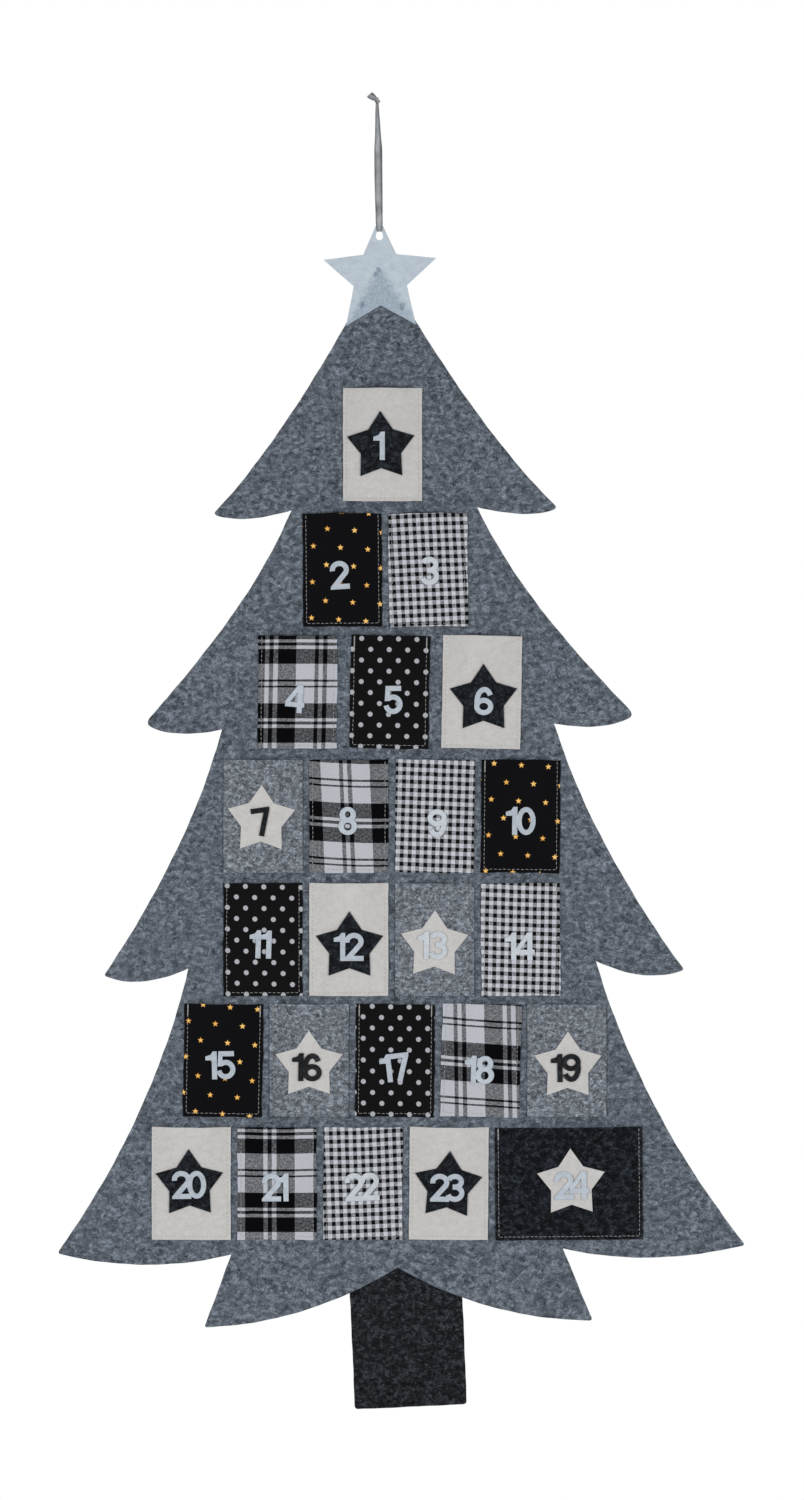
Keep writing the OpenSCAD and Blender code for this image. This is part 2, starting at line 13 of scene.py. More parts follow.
import bpy
import numpy as np
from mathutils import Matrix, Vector
from mathutils.geometry import delaunay_2d_cdt


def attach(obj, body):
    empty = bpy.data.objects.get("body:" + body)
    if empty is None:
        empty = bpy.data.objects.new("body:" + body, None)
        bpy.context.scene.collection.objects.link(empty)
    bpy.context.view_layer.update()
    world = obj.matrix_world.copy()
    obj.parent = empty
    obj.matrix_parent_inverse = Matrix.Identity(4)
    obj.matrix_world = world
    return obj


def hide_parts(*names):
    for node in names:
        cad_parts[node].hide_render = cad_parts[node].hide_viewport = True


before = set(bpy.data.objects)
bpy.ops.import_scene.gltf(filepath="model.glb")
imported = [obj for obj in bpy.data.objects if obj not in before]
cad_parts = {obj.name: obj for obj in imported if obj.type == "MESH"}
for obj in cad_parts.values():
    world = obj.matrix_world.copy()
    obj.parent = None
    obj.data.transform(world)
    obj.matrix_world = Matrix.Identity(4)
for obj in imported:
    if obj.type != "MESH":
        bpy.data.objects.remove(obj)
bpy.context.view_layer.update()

log = logging.getLogger("felt_calendar")
chain = np.concatenate
Array = np.ndarray
Carry = Callable[[Array], Array]
Colour = tuple[float, float, float]
Drawing = tuple[list[Array], list[Array]]
Lift = Callable[[Array, Array], Array]
Material = bpy.types.Material
Pair = tuple[float, float]
Piece = bpy.types.Object
Socket = bpy.types.NodeSocket
Value = Union[float, int, tuple, Socket, None]

MM = 0.001
UV_MM = 100.0
FACE_Y = 0.5
HOLE_Z = -118.4
TIP_Z = -142.0
TREE_T = 3.0
THICK_EDGE = 0.7
THIN_EDGE = 0.28
GRID_ROW = 0.866
GRID_SHAKE = 0.12
GRID_CLEAR = 0.45


class Cloth(Enum):
    """What a pocket is cut from."""
    CREAM = "cream_felt"
    GREY = "grey_felt"
    CHARCOAL = "charcoal_felt"
    STARRY = "starry_cotton"
    DOTTED = "dotted_cotton"
    GINGHAM = "gingham_cotton"
    PLAID = "plaid_cotton"

    @property
    def is_cotton(self) -> bool:
        """True for the printed and woven cottons."""
        return self.value.endswith("cotton")


class Body(Enum):
    """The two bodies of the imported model."""
    RIBBON = "ribbon"
    TREE = "tree"


# Colours and node recipes


def srgb(colour: Colour) -> tuple[float, float, float, float]:
    """Turn a colour of 0 to 255 as seen on a screen into linear light.

    Args:
        colour: Red, green and blue from 0 to 255.
    Returns:
        Linear red, green and blue with an alpha of 1.
    """
    c = np.asarray(colour, dtype=float) / 255.0
    linear = np.where(c <= 0.04045, c / 12.92, ((c + 0.055) / 1.055) ** 2.4)
    return (*linear.tolist(), 1.0)


class Nodes:
    """A node tree being put together."""

    def __init__(self, owner: Union[Material, bpy.types.World]) -> None:
        """Start with an empty tree.

        Args:
            owner: The material or world.
        """
        owner.use_nodes = True
        self.tree = owner.node_tree
        self.tree.nodes.clear()

    def feed(self, node: bpy.types.Node, inputs: dict) -> None:
        """Set a node's sockets.

        Args:
            node: The node.
            inputs: Socket index or name to a number, a tuple or the socket to link from.
        """
        for key, value in inputs.items():
            if isinstance(value, Socket):
                self.tree.links.new(value, node.inputs[key])
            elif value is not None:
                node.inputs[key].default_value = value

    def put(self, kind: str, inputs: dict, **settings: object) -> bpy.types.Node:
        """Add one node.

        Args:
            kind: Type name of the node, less its first words.
            inputs: Values of its sockets, as for feed.
            settings: Attributes of the node.
        Returns:
            The node.
        """
        node = self.tree.nodes.new("ShaderNode" + kind)
        for key, value in settings.items():
            setattr(node, key, value)
        self.feed(node, inputs)
        return node


class Recipe(Nodes):
    """A node material being put together."""

    def __init__(self, name: str) -> None:
        """Start an empty material with its shader and output.

        Args:
            name: Name of the material.
        """
        self.material = bpy.data.materials.new(name)
        super().__init__(self.material)
        self.shader = self.put("BsdfPrincipled", {})
        self.put("OutputMaterial", {0: self.shader.outputs[0]})

    def sum(self, operation: str, a: Value, b: Value = None, c: Value = None) -> Socket:
        """One step of arithmetic on numbers."""
        return self.put("Math", {0: a, 1: b, 2: c}, operation=operation).outputs[0]

    def vector(self, operation: str, a: Value, b: Value = None) -> Socket:
        """One step of arithmetic on vectors."""
        node = self.put("VectorMath", {0: a, 1: b}, operation=operation)
        return node.outputs["Value" if operation == "LENGTH" else "Vector"]

    def place_mm(self) -> Socket:
        """Object coordinates in millimetres."""
        node = self.put("TexCoord", {})
        return self.vector("MULTIPLY", node.outputs["Object"], (1000.0, 1000.0, 1000.0))

    def cloth_mm(self) -> Socket:
        """The piece's own map across its cloth, in millimetres."""
        node = self.put("UVMap", {}, uv_map="cloth")
        return self.vector("MULTIPLY", node.outputs[0], (UV_MM, UV_MM, 1.0))

    def parts(self, vector: Socket) -> tuple[Socket, ...]:
        """The three parts of a vector."""
        return tuple(self.put("SeparateXYZ", {0: vector}).outputs)

    def noise(self, place: Socket, size: float, detail: float = 3.0, rough: float = 0.55,
              warp: float = 0.0, stretch: Optional[Colour] = None) -> Socket:
        """Cloudy noise.

        Args:
            place: Coordinates in millimetres.
            size: Size of the largest blobs.
            detail: Number of finer layers.
            rough: Weight of the finer layers.
            warp: How far the blobs are drawn into wisps.
            stretch: How much longer the blobs are along each axis.
        Returns:
            A number about 0.5.
        """
        if stretch:
            place = self.vector("MULTIPLY", place, tuple(1.0 / s for s in stretch))
        return self.put("TexNoise", {
            "Vector": place, "Scale": 1.0 / size, "Detail": detail, "Roughness": rough,
            "Distortion": warp}).outputs[0]

    def span(self, value: Socket, low: float, high: float, to_low: float = 0.0,
             to_high: float = 1.0, smooth: bool = True) -> Socket:
        """Spread the stretch from low to high over another one, and hold it there."""
        kind = "SMOOTHSTEP" if smooth else "LINEAR"
        return self.put("MapRange", {
            0: value, 1: low, 2: high, 3: to_low, 4: to_high}, interpolation_type=kind).outputs[0]

    def wave(self, value: Socket, length: float) -> Socket:
        """A sine wave along a number."""
        return self.sum("SINE", self.sum("MULTIPLY", value, math.tau / length))

    def ramp(self, value: Socket, stops: Sequence[tuple[float, Colour]],
             steps: bool = False) -> Socket:
        """Colours along a number, the first and last held beyond their stops.

        Args:
            value: The number.
            stops: Place and colour of each stop, in order.
            steps: True where each colour holds up to the next stop.
        Returns:
            Colour.
        """
        node = self.put("ValToRGB", {0: value})
        node.color_ramp.interpolation = "CONSTANT" if steps else "LINEAR"
        band = node.color_ramp.elements
        while len(band) < len(stops):
            band.new(1.0)
        for element, (at, colour) in zip(band, stops):
            element.position, element.color = at, srgb(colour)
        return node.outputs[0]

    def blend(self, share: Value, a: Value, b: Value) -> Socket:
        """Mix two colours."""
        return self.put("Mix", {0: share, 6: a, 7: b}, data_type="RGBA").outputs[2]

    def relief(self, height: Socket, strength: float, depth_mm: float) -> Socket:
        """The normal where a number stands up from the surface."""
        return self.put("Bump", {
            "Height": height, "Strength": strength, "Distance": depth_mm * MM}).outputs[0]

    def dress(self, sockets: dict) -> Material:
        """Set the shader's sockets and hand over the material."""
        self.feed(self.shader, sockets)
        return self.material


# Finishes


@dataclass(frozen=True)
class FeltFinish:
    """Pressed wool: soft clouds, pale and dark strands that curl through them, and a fine grain."""
    name: str
    dark: Colour
    middle: Colour
    light: Colour
    cloud: float = 4.4
    curl: float = 3.6
    cloud_share: float = 0.48
    broad_share: float = 0.09
    strand_share: float = 0.1
    grain_share: float = 0.46
    spread: float = 0.24
    relief: float = 0.4

    def strands(self, r: Recipe, place: Socket, seed: float) -> Socket:
        """Thin curling lines where a smooth noise passes through its middle value.

        Args:
            r: The material.
            place: Coordinates in millimetres.
            seed: Number of the set of strands.
        Returns:
            1 on a strand, falling to 0 beside it.
        """
        moved = r.vector("ADD", place, (17.3 * seed, 29.1 * seed, 11.7 * seed))
        noise = r.noise(moved, self.curl * (1.0 + 0.25 * seed), 1.5, 0.6, 0.4, (1.35, 1.0, 1.0))
        return r.span(r.sum("ABSOLUTE", r.sum("SUBTRACT", noise, 0.5)), 0.0, 0.07, 1.0, 0.0)

    def colour(self, r: Recipe, place: Socket) -> tuple[Socket, Socket]:
        """Colour and height of the wool.

        The tone is 0.5 + clouds + grain + pale strands - dark strands, each by its share, and is
        read through three colours. Pale strands lie in pale clouds, dark ones in dark clouds.

        Args:
            r: The material.
            place: Coordinates in millimetres.
        Returns:
            Colour and height.
        """
        clouds = r.noise(place, self.cloud, 4.0, 0.68, 0.6, (1.3, 1.0, 1.0))
        broad = r.noise(place, 4.0 * self.cloud, 2.0, 0.5)
        grain = r.noise(place, 0.8, 2.0, 0.6)
        pale, deep = (r.sum("ADD", self.strands(r, place, k), self.strands(r, place, k + 1))
                      for k in (0.0, 2.0))
        pale = r.sum("MULTIPLY", pale, r.span(clouds, 0.44, 0.62))
        deep = r.sum("MULTIPLY", deep, r.span(clouds, 0.38, 0.56, 1.0, 0.0))
        tone = 0.5 - 0.5 * (self.cloud_share + self.broad_share + self.grain_share)
        for part, share in ((clouds, self.cloud_share), (broad, self.broad_share),
                            (grain, self.grain_share),
                            (r.sum("SUBTRACT", pale, deep), self.strand_share)):
            tone = r.sum("MULTIPLY_ADD", part, share, tone)
        colour = r.ramp(tone, [(0.5 - self.spread, self.dark), (0.5, self.middle),
                               (0.5 + self.spread, self.light)])
        height = r.sum("MULTIPLY_ADD", pale, 0.3, r.sum("MULTIPLY_ADD", grain, 0.7, tone))
        return colour, height

    def make(self) -> Material:
        """Put the wool together.

        Returns:
            The finished material.
        """
        r = Recipe(self.name)
        colour, height = self.colour(r, r.place_mm())
        return r.dress({
            "Base Color": colour, "Roughness": 0.95, "Specular IOR Level": 0.03,
            "Sheen Weight": 0.03, "Sheen Roughness": 0.6,
            "Normal": r.relief(height, self.relief, 0.7)})


@dataclass(frozen=True)
class TopperFinish(FeltFinish):
    """Thin felt that lets the tree's tip and the glue on it show through."""
    through: Colour = (142, 159, 176)
    flecks: Colour = (108, 126, 145)
    veil: float = 0.74
    tip_slope: float = 0.62
    blots: tuple = ((-1.6, -147.6, 5.5), (-3.8, -151.4, 5.5), (-16.5, -178.5, 7.5),
                    (18.5, -181.0, 7.5))

    def colour(self, r: Recipe, place: Socket) -> tuple[Socket, Socket]:
        """Colour and height, veiled inside the triangle tip_slope * (tip height - z) > |x|.

        The veil's edge is drawn out by noise and fades over some millimetres. Flecks, a fine noise,
        lie inside it and gather round the blots of glue.

        Args:
            r: The material.
            place: Coordinates in millimetres.
        Returns:
            Colour and height.
        """
        colour, height = FeltFinish.colour(self, r, place)
        x, _, z = r.parts(place)
        edge = r.noise(place, 8.0, 4.0, 0.7)
        fine = r.noise(place, 2.0, 3.0, 0.7)
        half = r.sum("MULTIPLY", r.sum("SUBTRACT", TIP_Z, z), self.tip_slope)
        within = r.sum("SUBTRACT", half, r.sum("ABSOLUTE", x))
        within = r.sum("MULTIPLY_ADD", r.sum("SUBTRACT", edge, 0.5), 14.0, within)
        veil = r.sum("MULTIPLY", r.span(within, -3.0, 6.5, 0.0, self.veil),
                     r.span(fine, 0.3, 0.62, 0.45, 1.0))
        colour = r.blend(veil, colour, srgb(self.through))
        blots = r.span(within, 0.0, 9.0, 0.0, 0.4)
        for at_x, at_z, size in self.blots:
            away = r.vector("LENGTH", r.vector("SUBTRACT", place, (at_x, 0.0, at_z)))
            blots = r.sum("MAXIMUM", blots, r.span(away, 0.0, size, 1.0, 0.0))
        grainy = r.sum("ADD", blots, r.sum("SUBTRACT", fine, 0.5))
        return r.blend(r.span(grainy, 0.45, 1.0, 0.0, 0.75), colour, srgb(self.flecks)), height


class CottonFinish:
    """Cotton cloth, its pattern read from the piece's own map in millimetres."""
    slot: str = ""
    thread: float = 0.55
    rough: float = 0.9

    def pattern(self, r: Recipe, place: Socket) -> Socket:
        """Colour of the cloth at a place on it."""
        raise NotImplementedError

    def weave(self, r: Recipe, place: Socket) -> Socket:
        """Plain weave, from 0 to 1: the product of two waves, one along each thread.

        Args:
            r: The material.
            place: Coordinates in millimetres.
        Returns:
            Height.
        """
        across, along = (r.wave(part, 2 * self.thread) for part in r.parts(place)[:2])
        return r.sum("MULTIPLY_ADD", r.sum("MULTIPLY", across, along), 0.5, 0.5)

    def make(self) -> Material:
        """Put the cloth together.

        Returns:
            The finished material.
        """
        r = Recipe(self.slot)
        place = r.cloth_mm()
        weave = self.weave(r, place)
        slub = r.noise(place, 1.4, 3.0, 0.6)
        shade = r.sum("MULTIPLY_ADD", weave, 0.16, r.span(slub, 0.3, 0.7, 0.80, 0.96, False))
        return r.dress({
            "Base Color": r.vector("MULTIPLY", self.pattern(r, place), shade),
            "Roughness": self.rough, "Specular IOR Level": 0.03,
            "Normal": r.relief(r.sum("MULTIPLY_ADD", slub, 0.6, weave), 0.25, 0.25)})


def lattice(r: Recipe, place: Socket, cell: Pair) -> list[tuple[Socket, Socket]]:
    """Fold the cloth into two sets of cells that repeat, half a cell apart.

    Args:
        r: The material.
        place: Coordinates in millimetres.
        cell: Width and height of a cell.
    Returns:
        For each set, the place within the nearest cell from its middle, and the cell's number.
    """
    found = []
    for shift in ((0.0, 0.0, 0.0), (cell[0] / 2, cell[1] / 2, 0.0)):
        cells = r.vector("DIVIDE", r.vector("SUBTRACT", place, shift), (*cell, 1.0))
        moved = r.vector("ADD", cells, (0.5, 0.5, 0.0))
        number = r.vector("ADD", r.vector("FLOOR", moved), shift)
        within = r.vector("SUBTRACT", r.vector("FRACTION", moved), (0.5, 0.5, 0.0))
        found.append((r.vector("MULTIPLY", within, (*cell, 0.0)), number))
    return found


class DottedCotton(CottonFinish):
    """Black cotton printed with white dots in staggered rows."""
    slot = "dotted_cotton"
    black: Colour = (21, 20, 21)
    white: Colour = (177, 179, 185)
    cell: Pair = (16.3, 19.1)
    dot_r: float = 2.15

    def pattern(self, r: Recipe, place: Socket) -> Socket:
        """White within dot_r of a cell's middle, with a ragged edge.

        Args:
            r: The material.
            place: Coordinates in millimetres.
        Returns:
            Colour.
        """
        near = [r.vector("LENGTH", within) for within, _ in lattice(r, place, self.cell)]
        away = r.sum("MULTIPLY_ADD", r.noise(place, 0.8, 2.0), 0.5, r.sum("MINIMUM", *near))
        dot = r.span(away, self.dot_r + 0.1, self.dot_r + 0.45, 1.0, 0.0)
        return r.blend(dot, srgb(self.black), srgb(self.white))


class StarryCotton(CottonFinish):
    """Black cotton printed with little gold stars in staggered rows, the gold with a painted glint.
    """
    slot = "starry_cotton"
    rough = 0.7
    black: Colour = (14, 14, 17)
    gold_low: Colour = (214, 146, 58)
    # the paler gold is a painted glint of the foil
    gold_glint: Colour = (251, 206, 120)
    cell: Pair = (24.1, 31.8)
    outer: float = 2.85
    inner: float = 1.3
    turn: float = 4.0

    def pattern(self, r: Recipe, place: Socket) -> Socket:
        """Gold inside the straight edges from each point of a star to the next inner corner.

        At the angle a from a point, the edge lies at
        outer * inner * sin36 / (inner * sin36 * cos a + (outer - inner * cos36) * sin a).

        Args:
            r: The material.
            place: Coordinates in millimetres.
        Returns:
            Colour.
        """
        fifth = math.radians(72)
        sin36, cos36 = math.sin(fifth / 2), math.cos(fifth / 2)
        colour = srgb(self.black)
        for within, number in lattice(r, place, self.cell):
            x, z, _ = r.parts(within)
            angle = r.sum("ADD", r.sum("ARCTAN2", x, z), math.radians(self.turn))
            sector = r.sum("FRACT", r.sum("ADD", r.sum("DIVIDE", angle, fifth), 0.5))
            a = r.sum("MULTIPLY", r.sum("ABSOLUTE", r.sum("SUBTRACT", sector, 0.5)), fifth)
            below = r.sum("MULTIPLY", r.sum("COSINE", a), self.inner * sin36)
            below = r.sum("MULTIPLY_ADD", r.sum("SINE", a), self.outer - self.inner * cos36, below)
            edge = r.sum("DIVIDE", self.outer * self.inner * sin36, below)
            away = r.vector("LENGTH", within)
            # painted glint: the gold is lighter towards each star's middle and by a random amount
            # per star, in place of the foil's reflections
            glint_luck = r.put("TexWhiteNoise", {0: number}).outputs["Value"]
            glint = r.sum("SUBTRACT", 1.0, r.sum("DIVIDE", away, self.outer))
            glint = r.sum("MULTIPLY_ADD", r.sum("SUBTRACT", glint_luck, 0.5), 0.5, glint)
            gold = r.ramp(glint, [(0.05, self.gold_low), (0.75, self.gold_glint)])
            colour = r.blend(r.span(r.sum("SUBTRACT", edge, away), -0.08, 0.12), colour, gold)
        return colour


class WovenCotton(CottonFinish):
    """Cotton woven from black and white threads: warp stripes crossed by weft stripes."""
    black: Colour = (8, 8, 10)
    white: Colour = (188, 191, 198)
    weft_share: float = 0.58
    depth: float = 2.2
    warp: Sequence[float] = ()
    weft: Sequence[float] = ()

    def stripes(self, r: Recipe, at: Socket, widths: Sequence[float]) -> Socket:
        """Stripes that turn white and black by turns, the first white one centred on 0.

        Args:
            r: The material.
            at: Distance across the stripes in millimetres.
            widths: Widths of one repeat, white first, the first one's half on either side of 0.
        Returns:
            1 on white threads, 0 on black ones.
        """
        repeat = sum(widths)
        share = r.sum("FRACT", r.sum("DIVIDE", r.sum("ADD", at, widths[0] / 2), repeat))
        starts = chain([[0.0], np.cumsum(widths)[:-1]]) / repeat
        tones = ((255, 255, 255), (0, 0, 0))
        return r.ramp(share, [(float(s), tones[k % 2]) for k, s in enumerate(starts)], True)

    def pattern(self, r: Recipe, place: Socket) -> Socket:
        """Where warp and weft differ, the thread on top changes from one crossing to the next.

        Args:
            r: The material.
            place: Coordinates in millimetres.
        Returns:
            Colour.
        """
        u, v, _ = r.parts(place)
        wander = r.sum("SUBTRACT", r.noise(place, 14.0, 3.0, 0.6), 0.5)
        u = r.sum("MULTIPLY_ADD", wander, 0.9, u)
        v = r.sum("MULTIPLY_ADD", wander, -0.9, v)
        speck = r.sum("MULTIPLY_ADD", self.weave(r, place), 0.25, r.noise(place, 1.9, 4.0, 0.8))
        top = r.span(speck, 0.35, 0.9, self.weft_share - 0.38, self.weft_share + 0.38, False)
        tone = r.put("Mix", {
            0: top, 2: self.stripes(r, u, self.warp), 3: self.stripes(r, v, self.weft)}).outputs[0]
        tone = r.sum("POWER", tone, self.depth)
        return r.blend(tone, srgb(self.black), srgb(self.white))


class Gingham(WovenCotton):
    """Small even checks."""
    slot = "gingham_cotton"
    black = (16, 14, 14)
    white = (203, 206, 213)
    weft_share = 0.5
    depth = 1.3
    warp = (3.55, 3.45)
    weft = (3.65, 3.65)


class Plaid(WovenCotton):
    """Broad white bands with two thin black lines, broad black bands with two thin white ones."""
    slot = "plaid_cotton"
    warp = (3.7, 3.7, 16.2, 16.3, 3.9, 3.7, 3.9, 16.3, 16.2, 3.7)
    weft = (3.4, 1.9, 13.8, 13.3, 2.9, 2.6, 2.9, 13.3, 13.8, 1.9)


@dataclass(frozen=True)
class SatinFinish:
    """Grey satin ribbon: painted lengthwise lustre and a painted sheen along its middle, fine cross
    ribs and a dotted selvedge.
    """
    dark: Colour = (76, 81, 85)
    light: Colour = (176, 179, 182)
    selvedge: Colour = (88, 92, 96)
    half_w: float = 3.1
    dot: float = 1.5
    rib: float = 0.45

    def make(self) -> Material:
        """Streaks along the length, painted lustre and sheen, ribs across it and dots at the edge.

        Returns:
            The finished material.
        """
        r = Recipe("satin")
        place = r.cloth_mm()
        u, v, _ = r.parts(place)
        streak = r.noise(place, 0.8, 3.0, 0.6, 0.3, (1.0, 14.0, 1.0))
        # painted sheen: broad patches of lustre painted into the colour
        lustre = r.noise(place, 22.0, 2.0, 0.5, 0.0, (0.6, 1.0, 1.0))
        tone = r.sum("MULTIPLY_ADD", streak, 0.4, r.sum("MULTIPLY", lustre, 0.6))
        # painted sheen: lighter along the ribbon's middle, darker towards its edges
        out = r.sum("ABSOLUTE", u)
        off = r.sum("POWER", r.sum("DIVIDE", out, self.half_w), 2.0)
        tone = r.sum("MULTIPLY_ADD", off, -0.22, r.sum("ADD", tone, 0.05))
        colour = r.ramp(tone, [(0.33, self.dark), (0.62, self.light)])
        edge = r.span(out, self.half_w - 0.75, self.half_w - 0.45)
        dots = r.sum("MULTIPLY_ADD", r.wave(v, self.dot), 0.5, 0.5)
        height = r.sum("MULTIPLY_ADD", streak, 2.0, r.wave(v, self.rib))
        return r.dress({
            "Base Color": r.blend(r.sum("MULTIPLY", edge, dots), colour, srgb(self.selvedge)),
            "Roughness": 0.42, "Specular IOR Level": 0.4, "Sheen Weight": 0.1,
            "Normal": r.relief(height, 0.2, 0.08)})


@dataclass(frozen=True)
class ThreadFinish:
    """Twisted sewing thread."""
    name: str
    light: Colour
    dark: Colour
    twist: float = 0.55

    def make(self) -> Material:
        """The two plies as slanting waves along the stitch, the grooves between them painted
        darker.

        Returns:
            The finished material.
        """
        r = Recipe(self.name)
        u, v, _ = r.parts(r.cloth_mm())
        slant = r.sum("MULTIPLY_ADD", u, math.tau / self.twist, r.sum("MULTIPLY", v, 6.0))
        ply = r.sum("SINE", slant)
        # partly painted shade: the grooves between the plies are painted darker; the noise is the
        # thread's own tone
        tone = r.sum("MULTIPLY_ADD", ply, 0.2, r.noise(r.place_mm(), 0.7, 2.0))
        return r.dress({
            "Base Color": r.ramp(tone, [(0.25, self.dark), (0.7, self.light)]),
            "Roughness": 0.75, "Specular IOR Level": 0.25, "Normal": r.relief(ply, 0.4, 0.08)})


# Drawing flat shapes and making them solid


def rows(*columns: Array) -> Array:
    """Points whose coordinates are the given arrays, spread to one shape."""
    return np.stack(np.broadcast_arrays(*columns), axis=-1)


def right_of(steps: Array) -> Array:
    """Flat unit vectors that point to the right of some steps."""
    return rows(steps[..., 1], -steps[..., 0]) / np.linalg.norm(steps, axis=-1, keepdims=True)


def turned(points: Array, degrees: float) -> Array:
    """Points of a flat drawing turned counter-clockwise about 0."""
    a = math.radians(degrees)
    return points @ np.array([[math.cos(a), math.sin(a)], [-math.sin(a), math.cos(a)]])


def on_curve(a: Array, c: Array, b: Array, t: Array) -> Array:
    """Quadratic curve a(1-t)(1-t) + 2ct(1-t) + bt*t from a to b, leaning towards c."""
    t = t[:, None]
    return (1 - t) ** 2 * a + 2 * t * (1 - t) * c + t * t * b


def lean_point(a: Array, b: Array, sag: float, at: float = 0.5) -> Array:
    """The point off the chord from a to b by the sag, which a curve leans towards."""
    return a + at * (b - a) + sag * right_of(b - a)


def finely(ring: Array, step: float) -> Array:
    """Cut a closed ring's long edges into shorter ones.

    Args:
        ring: Corners, one a row.
        step: Longest edge that is left.
    Returns:
        Corners with points spaced evenly on the edges between them.
    """
    d = np.roll(ring, -1, axis=0) - ring
    count = np.maximum(1, np.ceil(np.linalg.norm(d, axis=1) / step).astype(int))
    owner = np.repeat(np.arange(len(ring)), count)
    first = np.repeat(np.cumsum(count) - count, count)
    share = (np.arange(count.sum()) - first) / count[owner]
    return ring[owner] + share[:, None] * d[owner]


def ragged(ring: Array, depth: float, seed: float) -> Array:
    """Waver a ring in and out a little, as hand shears do.

    Args:
        ring: Points of the ring, close together.
        depth: How far it wavers.
        seed: Where the waves start.
    Returns:
        The ring moved along its normals by three added sine waves of its length.
    """
    normal = right_of(np.roll(ring, -1, axis=0) - np.roll(ring, 1, axis=0))
    along = np.cumsum(np.linalg.norm(np.diff(ring, axis=0, prepend=ring[:1]), axis=1))
    wave = np.sin(along / 7.3 + seed) + 0.7 * np.sin(along / 3.1 + 2 * seed) + np.sin(along / 23.0)
    return ring + depth / 2.7 * wave[:, None] * normal


def star_ring(r: float, inner_r: float) -> Array:
    """A five-pointed star with its first point up: radii r and inner_r by turns, 36 degrees on."""
    a = np.radians(90 + 36 * np.arange(10))
    return np.tile([r, inner_r], 5)[:, None] * rows(np.cos(a), np.sin(a))


def inside(points: Array, ring: Array) -> Array:
    """Even-odd rule: inside where a line to the right crosses the ring an odd number of times.

    Args:
        points: The points.
        ring: Corners of the ring.
    Returns:
        True for each point inside.
    """
    x, z = points[:, :1], points[:, 1:]
    (ax, az), (bx, bz) = ring.T, np.roll(ring, -1, axis=0).T
    crosses = (az > z) != (bz > z)
    at = ax + (z - az) * (bx - ax) / np.where(bz == az, 1e-12, bz - az)
    return (crosses & (x < at)).sum(axis=1) % 2 == 1


def off_edge(points: Array, ring: Array) -> Array:
    """Distance of each point from the nearest edge of a ring.

    Args:
        points: The points.
        ring: Corners of the ring.
    Returns:
        Distances.
    """
    d = np.roll(ring, -1, axis=0) - ring
    away = points[:, None] - ring
    t = np.clip((away * d).sum(axis=2) / (d * d).sum(axis=1), 0, 1)
    return np.linalg.norm(away - t[..., None] * d, axis=2).min(axis=1)


@dataclass
class Cut:
    """A flat piece of cloth: its points, the triangles between them and its edge."""
    points: Array
    triangles: Array
    rim: Array

    @property
    def area(self) -> float:
        """Area in square millimetres."""
        a, b, c = (self.points[self.triangles[:, k]] for k in range(3))
        return float(np.abs(np.cross(b - a, c - a)).sum() / 2)


def cut_out(shapes: Sequence[Array], holes: Sequence[Array] = (), step: float = 3.0) -> Cut:
    """Cut the union of some shapes, less some holes, from a sheet.

    The outlines and a staggered grid of points between them are triangulated. Triangles that lie
    in a shape and in no hole stay, and an edge that only one of them uses is on the rim.

    Args:
        shapes: Closed outlines, counter-clockwise.
        holes: Closed outlines of the holes.
        step: Spacing of the grid.
    Returns:
        The cut piece.
    """
    rings = [finely(ring, step) for ring in (*shapes, *holes)]
    corners = chain(rings)
    low, high = corners.min(axis=0), corners.max(axis=0)
    size = np.maximum(2, ((high - low) / (step * np.array([1.0, GRID_ROW]))).astype(int) + 1)
    i, j = np.meshgrid(np.arange(size[0]), np.arange(size[1]))
    grid = rows(i + 0.5 * (j % 2), j * GRID_ROW).reshape(-1, 2) * step + low
    grid += GRID_SHAKE * step * np.sin(grid[:, ::-1] * 3.7 / step + 1.0)
    grid = grid[np.any([inside(grid, ring) for ring in rings[:len(shapes)]], axis=0)]
    for ring in rings:
        grid = grid[off_edge(grid, ring) > GRID_CLEAR * step]
    ends = np.cumsum([len(ring) for ring in rings])
    loops = [list(range(end - len(ring), end)) for ring, end in zip(rings, ends)]
    flat = [Vector(p) for p in chain([corners, grid]).tolist()]
    made = delaunay_2d_cdt(flat, [], loops, 0, 1e-5, True)
    points, triangles = np.array([tuple(p) for p in made[0]]), np.array(made[2])
    owner = np.array([max(o, default=len(shapes)) for o in made[5]])
    used, index = np.unique(triangles[owner < len(shapes)], return_inverse=True)
    triangles = index.reshape(-1, 3)
    edges = chain([triangles[:, [0, 1]], triangles[:, [1, 2]], triangles[:, [2, 0]]])
    count = len(used)
    single = ~np.isin(edges @ [count, 1], edges @ [1, count])
    return Cut(points[used], triangles, edges[single])


def edge_loops(cut: Cut) -> list[Array]:
    """The closed loops of a cut piece's rim, with the piece on their left.

    Each rim point knows the next one. Doubling the jump finds the lowest point of each loop, then
    the number of steps from each point to it, and that number puts the loop's points in order.

    Args:
        cut: The piece.
    Returns:
        Points of each loop.
    """
    used, index = np.unique(cut.rim, return_inverse=True)
    start, end = index.reshape(-1, 2).T
    every = np.arange(len(used))
    onward = every.copy()
    onward[start] = end
    rounds = range(len(used).bit_length())
    low, jump = every, onward
    for _ in rounds:
        low, jump = np.minimum(low, low[jump]), jump[jump]
    steps, jump = (every != low).astype(int), np.where(every == low, every, onward)
    for _ in rounds:
        steps, jump = steps + steps[jump], jump[jump]
    order = np.lexsort((-steps, low))
    return [cut.points[used[order[low[order] == first]]] for first in np.unique(low)]


